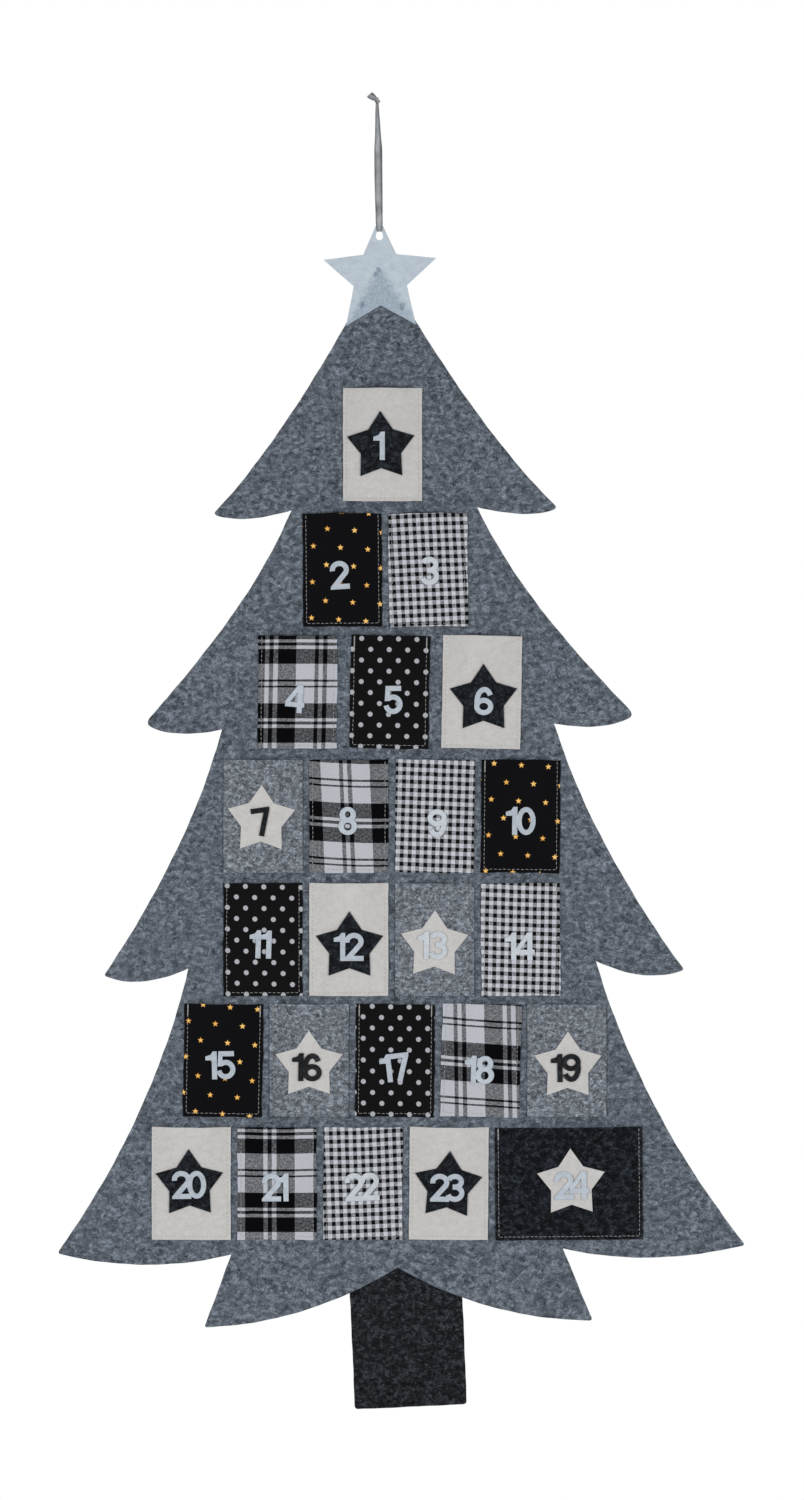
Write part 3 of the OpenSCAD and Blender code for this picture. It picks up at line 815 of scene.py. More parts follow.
def joined(drawing: Drawing, step: float, least: float = 0.3) -> Cut:
    """Cut overlapping shapes in one piece, drawn afresh along the edge of their union.

    Args:
        drawing: Closed outlines, counter-clockwise, and those of the holes.
        step: Spacing of the points.
        least: Points of the edge closer together than this are thinned out.
    Returns:
        The cut piece.
    """
    outer, inner = [], []
    for loop in edge_loops(cut_out(*drawing, step)):
        loop = loop[np.linalg.norm(loop - np.roll(loop, 1, axis=0), axis=1) > least]
        if len(loop) > 2:
            if np.cross(loop, np.roll(loop, -1, axis=0)).sum() > 0:
                outer.append(loop)
            else:
                inner.append(loop[::-1])
    return cut_out(outer, inner, step)


@dataclass
class Shell:
    """A closed surface in metres, ready to become a mesh."""
    points: Array
    faces: list[list[int]]
    cloth: Optional[Array] = None
    creases: Optional[Array] = None


def sway(x: Array, z: Array) -> Array:
    """Slow waves of the hanging felt: none at the star, fuller further down and to the sides.

    Args:
        x: Places across.
        z: Heights.
    Returns:
        How far the felt lies back, in millimetres.
    """
    still, full, half_width = 60.0, 400.0, 300.0
    fall = np.clip((TIP_Z - still - z) / full, 0, 1)
    out = (np.abs(x) / half_width) ** 2
    waves = 1.1 * np.sin(z / 95.0 + x / 210.0) + 0.7 * np.sin(x / 120.0 - z / 160.0)
    return fall * (waves + 2.2 * out * np.sin(z / 60.0 + np.sign(x) * 0.9))


def in_frame(points: Array) -> Array:
    """Carry points drawn off the tree's face into the frame, in metres, on the swaying felt."""
    x, y, z = points.T
    return rows(x, y + FACE_Y + sway(x, z), z) * MM


def felt_body(cut: Cut, thick: float, rounding: float, lift: Lift,
              carry: Carry = in_frame) -> Shell:
    """Give a cut piece its thickness and a rounded edge.

    The front and the back are the cut piece, drawn in at its rim by the rounding r. Between them
    run rings at r(1 - sin a) in from the rim and r(1 - cos a) from the face, a from 0 to 90.

    Args:
        cut: The flat piece.
        thick: Thickness.
        rounding: Radius of the edge, front and back.
        lift: How far the back stands off the tree's face at x and z.
        carry: Takes points, with y towards the back and the tree's face at 0, into the frame.
    Returns:
        The shell.
    """
    count = len(cut.points)
    side = right_of(cut.points[cut.rim[:, 1]] - cut.points[cut.rim[:, 0]])
    normal = np.zeros((count, 2))
    np.add.at(normal, cut.rim[:, 0], side)
    np.add.at(normal, cut.rim[:, 1], side)
    normal /= np.maximum(np.linalg.norm(normal, axis=1, keepdims=True), 1e-9)
    a = np.radians([0.0, 30.0, 60.0, 90.0])
    inset, depth = rounding * (1 - np.sin(a)), rounding * (1 - np.cos(a))
    inset, depth = chain([inset, inset[::-1]]), chain([depth, thick - depth[::-1]])

    def layer(k: int, which: Array) -> Array:
        """Points of ring k."""
        x, z = (cut.points[which] - normal[which] * inset[k]).T
        return rows(x, -(lift(x, z) + thick - depth[k]), z)

    every, rim = np.arange(count), np.unique(cut.rim)
    slot = np.zeros(count, dtype=int)
    slot[rim] = np.arange(len(rim))
    last = len(inset) - 1
    layers = [layer(0, every)] + [layer(k, rim) for k in range(1, last)] + [layer(last, every)]
    back = count + (last - 1) * len(rim)
    bands = [cut.rim] + [count + (k - 1) * len(rim) + slot[cut.rim] for k in range(1, last)]
    bands.append(back + cut.rim)
    faces = cut.triangles.tolist() + (back + cut.triangles[:, ::-1]).tolist()
    for near, far in zip(bands[:-1], bands[1:]):
        faces += chain([near[:, ::-1], far], axis=1).tolist()
    return Shell(carry(chain(layers)), faces, creases=chain([bands[0], bands[-1]]))


def swept(tubes: int, stations: int, around: int, base: int = 0) -> list[list[int]]:
    """Faces of tubes of rings, closed at both ends.

    Args:
        tubes: Number of tubes.
        stations: Rings of a tube.
        around: Points of a ring.
        base: Index of the first point.
    Returns:
        The four-sided faces, then the first ends, then the last ends.
    """
    index = base + np.arange(tubes * stations * around).reshape(tubes, stations, around)
    a, b = index[:, :-1], index[:, 1:]
    quads = rows(a, np.roll(a, -1, axis=2), np.roll(b, -1, axis=2), b).reshape(-1, 4)
    return quads.tolist() + index[:, 0, ::-1].tolist() + index[:, -1].tolist()


# Pieces


def put_mesh(name: str, shell: Shell, material: Material) -> Piece:
    """Put a shell into the scene.

    Args:
        name: Name of the piece.
        shell: Its surface.
        material: Its finish.
    Returns:
        The object, at the origin.
    """
    mesh = bpy.data.meshes.new(name)
    mesh.from_pydata(shell.points.tolist(), [], shell.faces)
    mesh.shade_smooth()
    if shell.cloth is not None:
        corner = np.empty(len(mesh.loops), dtype=np.int32)
        mesh.loops.foreach_get("vertex_index", corner)
        layer = mesh.uv_layers.new(name="cloth")
        layer.data.foreach_set("uv", (shell.cloth[corner] / UV_MM).astype(np.float32).ravel())
    if shell.creases is not None:
        ends = np.empty(2 * len(mesh.edges), dtype=np.int32)
        mesh.edges.foreach_get("vertices", ends)
        keys = [np.sort(pairs, axis=1) @ [len(shell.points), 1]
                for pairs in (ends.reshape(-1, 2), shell.creases)]
        sharp = mesh.attributes.new("sharp_edge", "BOOLEAN", "EDGE")
        sharp.data.foreach_set("value", np.isin(*keys))
    mesh.materials.append(material)
    piece = bpy.data.objects.new(name, mesh)
    bpy.context.scene.collection.objects.link(piece)
    return piece


def settle(name: str, shell: Shell, material: Material, node: str,
           body: Body = Body.TREE) -> Piece:
    """Make a piece that rides on a body and stands for its node.

    Args:
        name: Name of the piece.
        shell: Its surface.
        material: Its finish.
        node: The node that it stands for.
        body: The body that it moves with.
    Returns:
        The piece.
    """
    piece = put_mesh(name, shell, material)
    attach(piece, body.value)
    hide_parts(node)
    log.info("%s: %d faces", piece.name, len(piece.data.polygons))
    return piece


def strip_section(half: Sequence[float]) -> tuple[Array, Array]:
    """Go round a flat strip's section.

    Args:
        half: Places across it, from -1 to 1.
    Returns:
        Places across, out and back, and 1 on one face, -1 on the other and 0 at the edges.
    """
    a, face = np.array(half), np.ones(len(half) - 2)
    return chain([a, a[-2:0:-1]]), chain([[0], face, [0], -face])


@dataclass
class HangingLoop:
    """The satin ribbon through the star's hole, with its knot."""
    drop: float = 114.0
    width: float = 6.2
    thick: float = 0.5
    strand_y: float = 1.1
    bight_top: float = 1.2
    bight_w: float = 4.0
    strand_bow: float = 0.28
    strand_gap: float = 0.9
    strand_steps: int = 64
    bend_steps: int = 17
    knot_r: float = 2.4
    knot_lean: float = 52.0
    knot_turns: float = 1.6
    tail: float = 8.6
    tail_angle: float = 142.0
    route: tuple = ((0, 0, .4), (.08, 0, .5), (.18, .2, .63), (.3, .3, .78), (.34, .3, 1),
                    (.6, 0, 1), (.75, 0, 1), (.965, 0, 1), (1, 0, .645))
    ribbon_half: tuple = (-1, -.96, -.8, -.55, -.25, 0, .25, .55, .8, .96, 1)
    knot_half: tuple = (-1, -.9, -.5, 0, .5, .9, 1)

    @property
    def knot_z(self) -> float:
        """Height of the knot's middle."""
        return self.knot_r * 0.9

    def stations(self) -> tuple[Array, Array]:
        """Path of the ribbon and its width along it.

        The front strand runs down at y = -strand_y, bowed out a little midway, then half a circle
        of radius strand_y carries the ribbon through the hole, and the back strand runs up,
        a little to the right. Shares of the width come from the route.

        Returns:
            Points, and the ribbon's width at each.
        """
        s = np.linspace(0, 1, self.strand_steps)
        share, across, wide = np.array(self.route, dtype=float).T
        squeeze = 0.5 + 0.5 * np.minimum(1, 4 * s)
        y = self.strand_y * squeeze + self.strand_bow * np.sin(np.pi * s) ** 1.5
        z = -s * (self.drop - self.bight_top)
        x = np.interp(s, share, across)
        wide = np.pad(np.interp(s, share, wide), 2, mode="edge")
        wide = np.convolve(wide, np.ones(5) / 5, mode="valid")
        aside = self.strand_gap * np.sin(np.pi * np.clip(s * 1.15, 0, 1)) ** 0.7
        a = np.radians(np.linspace(180, 360, self.bend_steps))[1:-1]
        turn = rows(0 * a, self.strand_y * np.cos(a),
                    -self.drop + self.bight_top + self.strand_y * np.sin(a))
        front, back = rows(x - aside / 2, -y, z), rows(x + aside / 2, y, z)[::-1]
        width = chain([wide, np.full(len(a), self.bight_w / self.width), wide[::-1]])
        return chain([front, turn, back]), width * self.width

    def ribbon_shell(self) -> tuple[Shell, Array]:
        """The flat ribbon swept along its path.

        The section runs across x from -w/2 to w/2 and back, t thick with thin selvedges, and
        where the ribbon is gathered to less than its width it curls outwards as a shallow trough.

        Returns:
            The shell and its path, in metres.
        """
        path, width = self.stations()
        tangent = np.gradient(path, axis=0)
        tangent /= np.linalg.norm(tangent, axis=1, keepdims=True)
        across = np.array([1.0, 0.0, 0.0]) - tangent * tangent[:, :1]
        across /= np.linalg.norm(across, axis=1, keepdims=True)
        through = np.cross(tangent, across)
        a, side = strip_section(self.ribbon_half)
        body = side * (self.thick / 2) * np.where(np.abs(a) > 0.9, 0.7, 1.0)
        slack = np.sqrt(np.maximum(0, 1 - (width / self.width) ** 2))
        trough = 0.9 * slack[:, None] * (np.abs(a) ** 1.6 - 0.4)
        rings = (path[:, None] + across[:, None] * (a * width[:, None] / 2)[..., None]
                 + through[:, None] * (body + trough)[..., None])
        along = chain([[0], np.cumsum(np.linalg.norm(np.diff(path, axis=0), axis=1))])
        cloth = rows(a * self.width / 2, along[:, None]).reshape(-1, 2)
        return Shell(rings.reshape(-1, 3) * MM, swept(1, *rings.shape[:2]), cloth), path * MM

    def tail_rings(self, lean: float, y: float) -> tuple[Array, Array]:
        """One cut end: a flat strip that leaves the knot and flares to the ribbon's width.

        Args:
            lean: Extra turn of this end against the other, in degrees.
            y: Its depth.
        Returns:
            Rings of the strip and its map.
        """
        s = np.linspace(0, 1, 14)[:, None]
        a, side = strip_section(self.knot_half)
        w = self.width * (0.34 + 0.54 * np.sin(np.minimum(1, s * 1.25) * np.pi / 2))
        along = s * (self.tail + 0.5 * a)
        flat = turned(rows(along, a * w / 2).reshape(-1, 2), self.tail_angle + lean)
        x, z = flat.reshape(*along.shape, 2).transpose(2, 0, 1)
        fold = 0.45 * (1 - s) * np.cos(a * np.pi) + 0.3 * np.sin(s * 4.0) * a
        depth = y * (0.4 + 0.6 * s) + fold + side * self.thick * 0.45
        return rows(x, depth, z + self.knot_z), rows(a * self.width / 2, along)

    def knot_shell(self) -> Shell:
        """The knot: a band drawn round an overhand turn, with the two cut ends.

        The band's middle line winds knot_turns round an axis that leans across the ribbon, at
        0.62 of the knot's radius, and its width follows the axis as it slips along it.

        Returns:
            The shell.
        """
        s = np.linspace(0, 1, 60)[:, None]
        a = math.tau * self.knot_turns * s + 0.8
        b, side = strip_section(self.knot_half)
        radius = self.knot_r * (0.62 + 0.2 * np.sin(2 * a + 1.0) + 0.12 * s)
        radius = radius + side * 0.45 + 0.35 * (1 - b * b)
        slip = (s - 0.5) * 1.5 + b * 1.5 + 0.25 * np.sin(3 * a)
        out, lean = radius * np.cos(a), math.radians(self.knot_lean)
        x = out * math.cos(lean) + slip * math.sin(lean)
        z = -out * math.sin(lean) + slip * math.cos(lean)
        wrap = rows(x, radius * np.sin(a) * 0.9, z + self.knot_z)
        parts = [(wrap, rows(b * self.width / 2, 30 * s)), self.tail_rings(3.0, -0.75),
                 self.tail_rings(-4.0, 0.75)]
        faces, base = [], 0
        for rings, _ in parts:
            faces += swept(1, *rings.shape[:2], base)
            base += rings.shape[0] * rings.shape[1]
        points, cloth = (chain([part[k].reshape(-1, 3 - k) for part in parts]) for k in (0, 1))
        return Shell(points * MM, faces, cloth)

    def build(self) -> None:
        """Make the ribbon and its knot."""
        satin = SatinFinish().make()
        shell, path = self.ribbon_shell()
        ribbon = settle("satin_loop", shell, satin, "hanging_ribbon", Body.RIBBON)
        knot = settle("satin_knot", self.knot_shell(), satin, "ribbon_knot", Body.RIBBON)
        length = float(np.linalg.norm(np.diff(path, axis=0), axis=1).sum())


@dataclass
class TreeSheet:
    """The tree, cut in one piece from thick felt."""
    tier_h: tuple = (219.5, 183.5, 225.0, 245.0)
    skirt_h: float = 66.0
    span: tuple = (307.0, 434.0, 514.0, 609.0)
    skirt_span: float = 344.0
    neck_span: tuple = (164.0, 294.0, 361.0, 294.0)
    neck_lift: tuple = (2.5, -7.0, 7.0, -2.0)
    end_slip: tuple = (1.0, 1.5, 1.5, 3.5)
    end_drop: tuple = (0.0, 0.0, 2.0, 1.5)
    side_sag: tuple = (17.0, 19.0, 20.0, 27.0)
    side_bend_at: tuple = (0.7, 0.4, 0.45, 0.47)
    under_sag: tuple = (11.0, 14.0, 16.0, 19.0)
    under_bend_at: tuple = (0.35, 0.3, 0.4, 0.5)
    end_round: tuple = (8.0, 8.0, 3.0, 3.0)
    arch_h: float = 50.0
    arch_sag: float = 24.0
    skirt_round: float = 3.0
    curve_steps: int = 24
    bend_steps: int = 7
    flat: Pair = (0.62, 0.94)
    felt: FeltFinish = FeltFinish("tree_felt", (49, 55, 63), (91, 98, 107), (141, 151, 163))

    @property
    def skirt_z(self) -> float:
        """Height of the skirt's corners."""
        return TIP_Z - sum(self.tier_h) - self.skirt_h

    @property
    def peak(self) -> Array:
        """Top of the arch between the skirt's corners."""
        return np.array([0.0, self.skirt_z + self.arch_h])

    def cornered(self, a: Array, side: Array, corner: Array, under: Array, b: Array,
                 radius: float) -> Array:
        """Two curves that meet at a rounded corner: in from a to it, and out to b.

        Args:
            a: Start.
            side: Point that the curve in leans towards.
            corner: The corner.
            under: Point that the curve out leans towards.
            b: End, which is left out.
            radius: Distance of the rounding from the corner.
        Returns:
            Points of both curves.
        """
        stop = 1 - radius / np.linalg.norm(corner - a)
        start = radius / np.linalg.norm(b - corner)
        way_in = on_curve(a, side, corner, np.linspace(0, stop, self.curve_steps))
        way_out = on_curve(corner, under, b, np.linspace(start, 1, self.curve_steps))
        between = np.linspace(0, 1, self.bend_steps)[1:-1]
        bend = on_curve(way_in[-1], corner, way_out[0], between)
        return chain([way_in, bend, way_out[:-1]])

    def half(self, side: int) -> Array:
        """One half of the edge from the tip to the skirt's arch, x outwards from the middle.

        Args:
            side: 1 on the right, -1 on the left.
        Returns:
            Points of the edge.
        """
        ends = TIP_Z - np.cumsum(self.tier_h)
        above, runs = np.array([0.0, TIP_Z]), []
        for k in range(4):
            end = np.array([self.span[k] / 2 + side * self.end_slip[k],
                            ends[k] - side * self.end_drop[k]])
            neck = np.array([self.neck_span[k] / 2, ends[k] + self.neck_lift[k]])
            outer = lean_point(above, end, self.side_sag[k], self.side_bend_at[k])
            under = lean_point(end, neck, -self.under_sag[k], self.under_bend_at[k])
            runs.append(self.cornered(above, outer, end, under, neck, self.end_round[k]))
            above = neck
        corner = np.array([self.skirt_span / 2, self.skirt_z])
        under = lean_point(corner, self.peak, -self.arch_sag)
        runs.append(self.cornered(above, (above + corner) / 2, corner, under, self.peak,
                                  self.skirt_round))
        return chain(runs)

    def build(self) -> Piece:
        """Make the tree.

        Returns:
            The tree's piece.
        """
        left = self.half(-1)[:0:-1] * [-1.0, 1.0]
        ring = chain([self.half(1), [self.peak], left])[::-1]
        cut = cut_out([ragged(finely(ring, step=4.0), depth=0.35, seed=0.4)], step=7.0)
        shell = felt_body(cut, TREE_T, THICK_EDGE, lambda x, z: 0 * x - TREE_T)
        tree = settle("tree_sheet", shell, self.felt.make(), "tree_panel")
        cut.area * MM * MM
        return tree


@dataclass
class TrunkStrip:
    """The trunk: a strip of charcoal felt glued behind the tree's foot."""
    width: float = 99.5
    thick: float = 3.0
    show: float = 124.0
    tuck: float = 30.0
    lean: float = 1.5
    corner: float = 3.0
    shift: float = 6.5
    felt: FeltFinish = FeltFinish("trunk_felt", (9, 9, 11), (30, 31, 35), (72, 76, 82), cloud=3.4,
                                  curl=2.6)

    def build(self, tree: TreeSheet, on: Piece) -> None:
        """Make the trunk behind the tree.

        Args:
            tree: The tree's sizes.
            on: The tree's piece; not used.
        """
        half, r, long = self.width / 2, self.corner, self.show + self.tuck
        a = np.radians(np.linspace(0, 90, 9))
        quarter = rows(np.cos(a), np.sin(a)) * r
        foot = -self.show + r
        ring = chain([[[-half, self.tuck]], turned(quarter, 180) + [-half + r, foot],
                      turned(quarter, 270) + [half - r, foot], [[half, self.tuck]]])
        ring = turned(ragged(finely(ring, step=3.0), depth=0.3, seed=1.7), self.lean)
        cut = cut_out([ring + [self.shift, tree.peak[1]]], step=5.0)
        shell = felt_body(cut, self.thick, THICK_EDGE, lambda x, z: 0 * x - TREE_T - self.thick)
        trunk = settle("trunk_strip", shell, self.felt.make(), "trunk")
        min(cut.area, self.width * long) * MM * MM


@dataclass
class StarTopper:
    """The pale star in front of the tree's tip, with its punched hole."""
    r: float = 52.5
    inner_r: float = 24.8
    thick: float = 1.0
    hole_d: float = 6.4
    hole_top_d: float = 4.8
    hole_rise: float = 4.4
    hole_from_point: float = 16.6
    felt: TopperFinish = TopperFinish("topper_felt", (181, 193, 205), (192, 204, 214),
                                      (201, 212, 221), cloud=7.0, relief=0.15)

    def hole(self) -> Array:
        """Edge of the hole: the outer arcs of two circles one above the other.

        The arcs meet the lines that touch both circles at the angle f above level on either
        side, where sin f is the difference of the radii over the circles' distance.

        Returns:
            Points of the edge, counter-clockwise.
        """
        f = math.asin((self.hole_d - self.hole_top_d) / 2 / self.hole_rise)
        high, low = np.linspace(f, math.pi - f, 24), np.linspace(math.pi - f, math.tau + f, 36)
        top = rows(np.cos(high), np.sin(high)) * self.hole_top_d / 2
        foot = rows(np.cos(low), np.sin(low)) * self.hole_d / 2
        return chain([top + [0.0, self.hole_rise], foot]) + [0.0, HOLE_Z]

    def build(self, on: Piece) -> None:
        """Make the star.

        Args:
            on: The tree's piece; not used.
        """
        ring = star_ring(self.r, self.inner_r) + [0.0, HOLE_Z + self.hole_from_point - self.r]
        ring = ragged(finely(ring, step=2.0), depth=0.12, seed=2.2)
        cut = cut_out([ring], [self.hole()], step=3.0)
        shell = felt_body(cut, self.thick, THIN_EDGE, lambda x, z: 0 * x)
        topper = settle("topper_star", shell, self.felt.make(), "star_topper")
        cut.area * MM * MM


@dataclass
class Digits:
    """Outlines of the die-cut numbers, in a box from 0 to the width and the height."""
    high: float = 25.0
    wide: float = 17.0
    stroke: float = 4.6
    one_lap: float = 0.8
    two_lap: float = 3.6
    one_share: float = 0.6
    waist_share: float = 0.53
    steps: int = 22

    @property
    def half(self) -> float:
        """Half of a stroke's width."""
        return self.stroke / 2

    def arc(self, c: Pair, r: Pair, start: float, end: float) -> Array:
        """Points c + (rx cos a, rz sin a) for a from start to end in degrees."""
        a = np.radians(np.linspace(start, end, self.steps))
        return np.array(c) + rows(r[0] * np.cos(a), r[1] * np.sin(a))

    def along(self, path: Array) -> Array:
        """Edge of a stroke drawn along a path: its right side forwards, its left side back."""
        side = self.half * right_of(np.gradient(path, axis=0))
        return chain([path + side, (path - side)[::-1]])

    def ring(self, c: Pair, r: Pair) -> tuple[Array, Array]:
        """The outer and the inner edge of a closed oval stroke."""
        return tuple(self.arc(c, np.array(r) + k, 0, 360)[:-1] for k in (self.half, -self.half))

    def bar(self, x0: float, z0: float, x1: float, z1: float) -> Array:
        """An upright rectangle."""
        return np.array([[x0, z0], [x1, z0], [x1, z1], [x0, z1]])

    def digit(self, d: int) -> Drawing:
        """The shapes that make up one digit.

        Args:
            d: The digit, 0 to 9.
        Returns:
            Outlines whose union, less the holes, is the digit.
        """
        h, w, k, s = self.high, self.wide, self.half, self.stroke
        top, waist, mid = h - k, h * self.waist_share, w / 2
        bowl = mid - k
        upper, lower = (top - waist) / 2, (waist - k) / 2
        if d == 0:
            edge, hole = self.ring((mid, h / 2), (bowl, h / 2 - k))
            return [edge], [hole]
        if d == 1:
            edge = w * self.one_share
            x = edge - s
            return [np.array([[x, 0], [edge, 0], [edge, h], [x + 1, h], [x - 1, h * 0.88],
                              [0, h * 0.82], [0, h * 0.68], [x, h * 0.68]])], []
        if d == 2:
            curl = self.arc((mid, top - h * 0.22), (bowl, h * 0.22), 190, -30)
            foot = np.array([[0, 0], [w, 0], [w, s], [s, s], [w * 0.075, h * 0.153],
                             [0, h * 0.096]])
            return [self.along(chain([curl, [[k * 1.3, k]]])), foot], []
        if d == 3:
            return [self.along(self.arc((mid, waist + upper), (bowl * 0.92, upper), 160, -90)),
                    self.along(self.arc((mid, k + lower), (bowl, lower), 90, -165)),
                    self.bar(mid - 2, waist - k, mid + 1, waist + k)], []
        if d == 4:
            x, low = w * 0.62, h * 0.21
            high = low + s * 0.95
            slope = np.array([[0, low], [x + 1, low], [x + 1, h], [x, h], [0, high + 0.5]])
            inner = np.array([[w * 0.26, high], [x, high], [x, h * 0.74]])
            return [self.bar(x, 0, x + s, h), self.bar(0, low, w, high), slope], [inner]
        if d == 5:
            left, rise = w * 0.07, (h * 0.695 - 2 * k) / 2
            stem = np.array([[left, h * 0.46], [left + s, h * 0.465], [left + s, h], [left + 1, h]])
            return [self.bar(left + 1, h - s, w * 0.94, h), stem,
                    self.along(self.arc((mid, k + rise), (bowl, rise), 135, -172))], []
        if d == 6:
            low = h * 0.31
            edge, hole = self.ring((mid, low), (bowl, low - k))
            return [edge, self.along(self.arc((mid, h / 2), (bowl, h / 2 - k), 195, 32))], [hole]
        if d == 7:
            points = np.array([[w - k, top], [w * 0.65, h * 0.5], [w * 0.4, 0]])
            flag = np.array([[w * 0.02, h - s], [w - 0.7, h - s], [w - 0.1, h - 2.9], [w, h],
                             [w * 0.02, h]])
            return [flag, self.along(on_curve(*points, np.linspace(0, 1, self.steps)))], []
        if d == 8:
            rings = ((waist + upper, bowl * 0.81, upper, 0.3),
                     (k + lower, bowl * 0.97, lower, -0.25))
            return ([self.ring((mid, z), (rx, rz))[0] for z, rx, rz, _ in rings],
                    [self.ring((mid, z + out), (rx - 0.3, rz + 0.4))[1]
                     for z, rx, rz, out in rings])
        return tuple([np.array([w, h]) - ring for ring in rings] for rings in self.digit(6))

    def number(self, n: int) -> Drawing:
        """The shapes of a number of one or two digits, its middle at 0.

        Args:
            n: The number.
        Returns:
            Outlines whose union, less the holes, is the number.
        """
        tens, ones = divmod(n, 10)
        one_w = self.wide * self.one_share
        first = one_w - self.one_lap if tens == 1 else self.wide - self.two_lap
        advance = first if tens else 0.0
        middle = np.array([advance + (one_w if ones == 1 else self.wide), self.high]) / 2
        before = self.digit(tens) if tens else ([], [])
        return tuple([ring - middle for ring in early]
                     + [ring + [advance, 0] - middle for ring in late]
                     for early, late in zip(before, self.digit(ones)))


@dataclass
class Pocket:
    """One pocket with what is sewn and glued on it."""
    number: int
    cloth: Cloth
    tilt: float
    number_at: Pair
    number_tilt: float
    star_at: Optional[Pair] = None
    star_tilt: float = 0.0
    pattern_at: Pair = (0.0, 0.0)
    pattern_lean: float = 0.0
    pattern_slope: float = 0.0
    tacks: str = ""
    pattern_bend: float = 0.0
    x: float = 0.0
    z: float = 0.0
    width: float = 70.0
    height: float = 100.0
    row_tilt: float = 1.0
    bow: float = 8.0
    flange: float = 4.0
    inset: float = 3.0
    star_r: float = 31.4
    star_inner_r: float = 18.8
    star_t: float = 1.4
    digit_t: float = 1.5
    star_step: float = 2.6
    digit_step: float = 2.0
    grid: Pair = (2.4, 2.6)
    border: float = 6.5
    lip: float = 3.0
    seam_dip: float = 0.3
    seam_w: float = 0.75

    @property
    def thick(self) -> float:
        """Thickness of the cloth."""
        return 0.8 if self.cloth.is_cotton else 1.2

    @property
    def number_felt(self) -> str:
        """Numbers on grey felt are dark but for 13. The ground shows a little through pale ones."""
        on_grey = "pale_on_light" if self.number == 13 else "dark_number"
        return {Cloth.GREY: on_grey, Cloth.GINGHAM: "pale_on_light", Cloth.PLAID: "pale_felt",
                Cloth.CHARCOAL: "pale_felt"}.get(self.cloth, "pale_on_dark")

    def stand_off(self, x: Array, z: Array) -> Array:
        """How far the back of the cloth stands off the tree.

        bow * sin(180 s) * sin(90 t), with s across and t up the pocket inside its seams.

        Args:
            x: Places across, from the pocket's middle.
            z: Places up, from the pocket's middle.
        Returns:
            Distances.
        """
        s = np.clip((x + self.width / 2 - self.flange) / (self.width - 2 * self.flange), 0, 1)
        t = np.clip((z + self.height / 2 - self.flange) / (self.height - self.flange), 0, 1)
        return self.bow * np.sin(np.pi * s) * np.sin(np.pi / 2 * t)

    def placed(self, points: Array) -> Array:
        """Carry points drawn on the pocket into the frame, in metres.

        Args:
            points: Points, with y towards the back and the tree's face at 0.
        Returns:
            Points in the frame.
        """
        flat = turned(points[:, [0, 2]], self.tilt) + [self.x, 0.0]
        flat = turned(flat, -self.row_tilt) + [0.0, self.z]
        return in_frame(rows(flat[:, 0], points[:, 1], flat[:, 1]))

    def panel_shell(self) -> Shell:
        """The sewn cloth, as a front and a back sheet on one grid that meet at its edges.

        Near an edge, at the distance d from it, the sheets stand t/2 (1 +- sqrt(1-(1-d/r)^2)) off
        the cloth's back, which rounds the edge. Along the seam the front is drawn in by the
        thread, and the margin outside the seam curls off the tree by the square of its share.

        Returns:
            The shell, with the pattern's map.
        """
        r = self.thick * 0.5
        near = np.array([0, 0.12 * r, 0.4 * r, r, 1.6, 2.3, 3.0, 3.7, 4.4])
        w, h = self.width, self.height
        x, z = np.meshgrid(
            chain([near - w / 2,
                   np.linspace(self.border - w / 2, w / 2 - self.border, int(w / self.grid[0])),
                   w / 2 - near[::-1]]),
            chain([near - h / 2,
                   np.linspace(self.border - h / 2, h / 2 - self.lip, int(h / self.grid[1])),
                   h / 2 - near[3::-1]]))
        sewn = np.minimum(np.minimum(x + w / 2, w / 2 - x), z + h / 2)
        edge = np.minimum(sewn, h / 2 - z)
        swell = np.sqrt(1 - (1 - np.clip(edge / r, 0, 1)) ** 2)
        dip = self.seam_dip * self.thick * np.exp(-((sewn - self.inset) / self.seam_w) ** 2)
        margin = (1 - np.clip(sewn / self.inset, 0, 1)) ** 2
        curl, fray = (0.35, 0.22) if self.cloth.is_cotton else (0.6, 0.1)
        off = self.stand_off(x, z) + curl * margin
        front = off + self.thick * (0.5 + 0.5 * swell) - dip
        back = off + self.thick * (0.5 - 0.5 * swell)
        loose, seed = fray * np.exp(-edge / 4.0), self.number * 1.7
        x_cut = x + loose * (np.sin(z / 4.1 + seed) + np.sin(z / 13.0 + 2 * seed))
        z_cut = z + loose * (np.sin(x / 4.7 + seed) + np.sin(x / 15.0 - seed))
        index = np.arange(x.size).reshape(x.shape)
        behind, inner = index.copy(), (slice(1, -1), slice(1, -1))
        behind[inner] = x.size + np.arange(index[inner].size).reshape(index[inner].shape)
        points = chain([rows(x_cut, -front, z_cut).reshape(-1, 3),
                        rows(x_cut, -back, z_cut)[inner].reshape(-1, 3)])

        def quads(grid: Array) -> Array:
            """Four corners of each cell, counter-clockwise from the front."""
            return rows(grid[:-1, :-1], grid[:-1, 1:], grid[1:, 1:], grid[1:, :-1]).reshape(-1, 4)

        faces = quads(index).tolist() + quads(behind)[:, ::-1].tolist()
        return Shell(self.placed(points), faces, self.pattern_map(points))

    def pattern_map(self, points: Array) -> Array:
        """Where each point lies on the cloth's pattern.

        u = x + lean * z and v = z + slope * x - bend * (3 q q - 1) / 2, with q = x / half width,
        each less the place of the pattern's first repeat.

        Args:
            points: Points drawn on the pocket.
        Returns:
            Rows of u and v.
        """
        x, _, z = points.T
        bend = self.pattern_bend * (3 * (2 * x / self.width) ** 2 - 1) / 2
        u, v = x + self.pattern_lean * z, z + self.pattern_slope * x - bend
        return rows(u, v) - self.pattern_at

